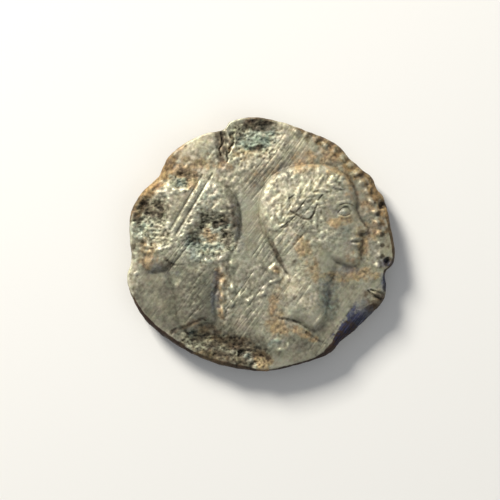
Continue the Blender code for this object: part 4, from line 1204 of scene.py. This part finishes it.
def patinated_bronze():
    """Rubbed olive-grey bronze under thin stains, with crusts in its hollows, and dirt and painted shade in
    its recesses.
    """
    mottle, streaks, glaze = mottle_group(), streak_group(), glaze_group()
    material = bpy.data.materials.new("patinated_bronze")
    material.use_nodes = True
    shader = material.node_tree.nodes["Principled BSDF"]
    tree = Tree(material.node_tree)

    tone, warm, cool, fine, speck, grain = (
        tree.use(mottle, size=size, sharpness=sharpness, seed=seed) for size, sharpness, seed in BLOTCHES)
    streaked = tree.use(streaks, width=PAINT_STREAK_WIDTH, length=PAINT_STREAK_LENGTH)
    granular = tree.mask("granular")
    # Fine recesses darken the grit, as painted shade
    hidden = tree.step(tree.mask("fine_recess"), *GRIT_RECESS)
    grit = tree.maths("MULTIPLY_ADD", speck, GRIT_SPECKS, tree.maths("MULTIPLY", hidden, GRIT_SHADE))
    grit = tree.maths("ADD", grit, 0.5, clamp=True)
    rim_grit = tree.maths("MULTIPLY_ADD", speck, RIM_SPECKS, tree.maths("MULTIPLY", fine, 1 - RIM_SPECKS))

    paint = tree.shade(tone, BRONZE)
    for cover, (strength, tint) in zip((warm, cool, fine, streaked), FILMS):
        paint = tree.coat(paint, cover, strength, colour(*tint))
    bare_grain, full_grain = GRAIN_SHARES
    share = tree.maths("MULTIPLY_ADD", granular, full_grain - bare_grain, bare_grain)
    paint = tree.mix(share, paint, tree.shade(grit, GRAIN))
    dull, corroded, edge, glint = (
        tree.use(glaze, mask=tree.mask(name), size=size, seed=seed) for name, size, seed in GLAZES)
    # Duller patina, and painted shade on the necks' sides, where the dull mask says
    paint = tree.coat(paint, dull, DULL_STRENGTH, tree.shade(grit, DULL_PATINA_AND_SHADE))
    # Rubbed crests paler, recesses darker with dirt and painted shade
    for name, start, full, strength, tint in RECESS_PAINT:
        paint = tree.coat(paint, tree.step(tree.mask(name), start, full), strength, colour(*tint))
    paint = tree.coat(paint, corroded, HOLLOW_STRENGTH, tree.shade(grit, HOLLOW_FLOOR))
    # The rim: golden brown, turning to dark red-brown and painted shade where rim_dark says
    golden, shaded_red = tree.shade(rim_grit, GOLDEN_RIM), tree.shade(grit, SHADED_RED_RIM)
    rim_paint = tree.mix(tree.mask("rim_dark"), golden, shaded_red)
    paint = tree.coat(paint, edge, RIM_STRENGTH, rim_paint)
    crust = corroded
    for seed, (name, strength, size, *colours) in enumerate(CRUSTS, start=6):
        cover = tree.use(glaze, mask=tree.mask(name), size=size, seed=seed)
        paint = tree.coat(paint, cover, strength, tree.shade(grit, colours))
        crust = tree.maths("MAXIMUM", crust, tree.maths("MULTIPLY", cover, strength))
    paint = tree.coat(paint, glint, GLINT_STRENGTH, tree.shade(streaked, GLINT))
    for share, size, seed in MINERAL_TINTS:
        hues = tree.noise(size, seed, MINERAL_DETAIL, output="Color")
        paint = tree.mix(share, paint, hues, blend_type="OVERLAY")
    tree.join(paint, shader.inputs["Base Color"])

    crust = tree.maths("MAXIMUM", crust, edge)
    metal, gloss, shine = (tree.step(crust, 0.0, 1.0, bare, crusted) for bare, crusted in FINISH)
    tree.join(metal, shader.inputs["Metallic"])
    tree.join(tree.maths("MULTIPLY_ADD", streaked, STREAK_GLOSS, gloss), shader.inputs["Roughness"])
    tree.join(shine, shader.inputs["Specular IOR Level"])

    rubbed = tree.maths("MULTIPLY", streaked, tree.maths("SUBTRACT", 1.0, granular))
    tooth = tree.maths("MULTIPLY_ADD", rubbed, BUMP_STREAKS, tree.maths("MULTIPLY", grain, BUMP_GRAIN))
    bump = tree.node("ShaderNodeBump", {"Height": tooth, "Strength": BUMP_STRENGTH, "Distance": BUMP_DEPTH})
    tree.join(bump.outputs["Normal"], shader.inputs["Normal"])
    return material


def floor():
    """A plain pale table top."""
    bpy.ops.object.select_all(action="DESELECT")
    bpy.ops.mesh.primitive_plane_add(size=TABLE_SIZE, location=(0, 0, -TABLE_GAP))
    table = bpy.context.object
    table.name = "table_top"
    material = bpy.data.materials.new("pale_table")
    material.use_nodes = True
    shader = material.node_tree.nodes["Principled BSDF"]
    shader.inputs["Base Color"].default_value = colour(*TABLE_COLOUR)
    shader.inputs["Roughness"].default_value = TABLE_ROUGHNESS
    table.data.materials.append(material)


def studio():
    """Square lamps that face the coin, and a pale sky."""
    for name, place, size, power, tint in LAMPS:
        lamp = bpy.data.lights.new(name, "AREA")
        lamp.size = size
        lamp.energy = power
        lamp.color = tint
        holder = bpy.data.objects.new(name, lamp)
        bpy.context.scene.collection.objects.link(holder)
        holder.location = place
        holder.rotation_euler = (-holder.location).to_track_quat("-Z", "Y").to_euler()
    world = bpy.data.worlds.new("sky")
    bpy.context.scene.world = world
    world.use_nodes = True
    sky = world.node_tree.nodes["Background"]
    sky.inputs["Color"].default_value = SKY_COLOUR
    sky.inputs["Strength"].default_value = SKY_STRENGTH


def camera():
    """Straight above the coin, with its framing in the photograph."""
    eye = bpy.data.cameras.new("camera")
    eye.lens = LENS
    eye.sensor_width = SENSOR
    eye.clip_start = NEAREST_SEEN
    holder = bpy.data.objects.new("camera", eye)
    bpy.context.scene.collection.objects.link(holder)
    holder.location = (*VIEW_CENTRE, GIRTH_HEIGHT + VIEW_WIDTH * LENS / SENSOR)
    bpy.context.scene.camera = holder


def main():
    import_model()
    flan = Flan(*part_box("coin"))
    coin = blank()
    strike(coin, flan)
    coin.data.materials.append(patinated_bronze())
    bpy.ops.object.shade_smooth()
    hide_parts("coin")
    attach(coin, "root")
    floor()
    studio()
    camera()
    bpy.context.scene.view_settings.view_transform = "Standard"


main()
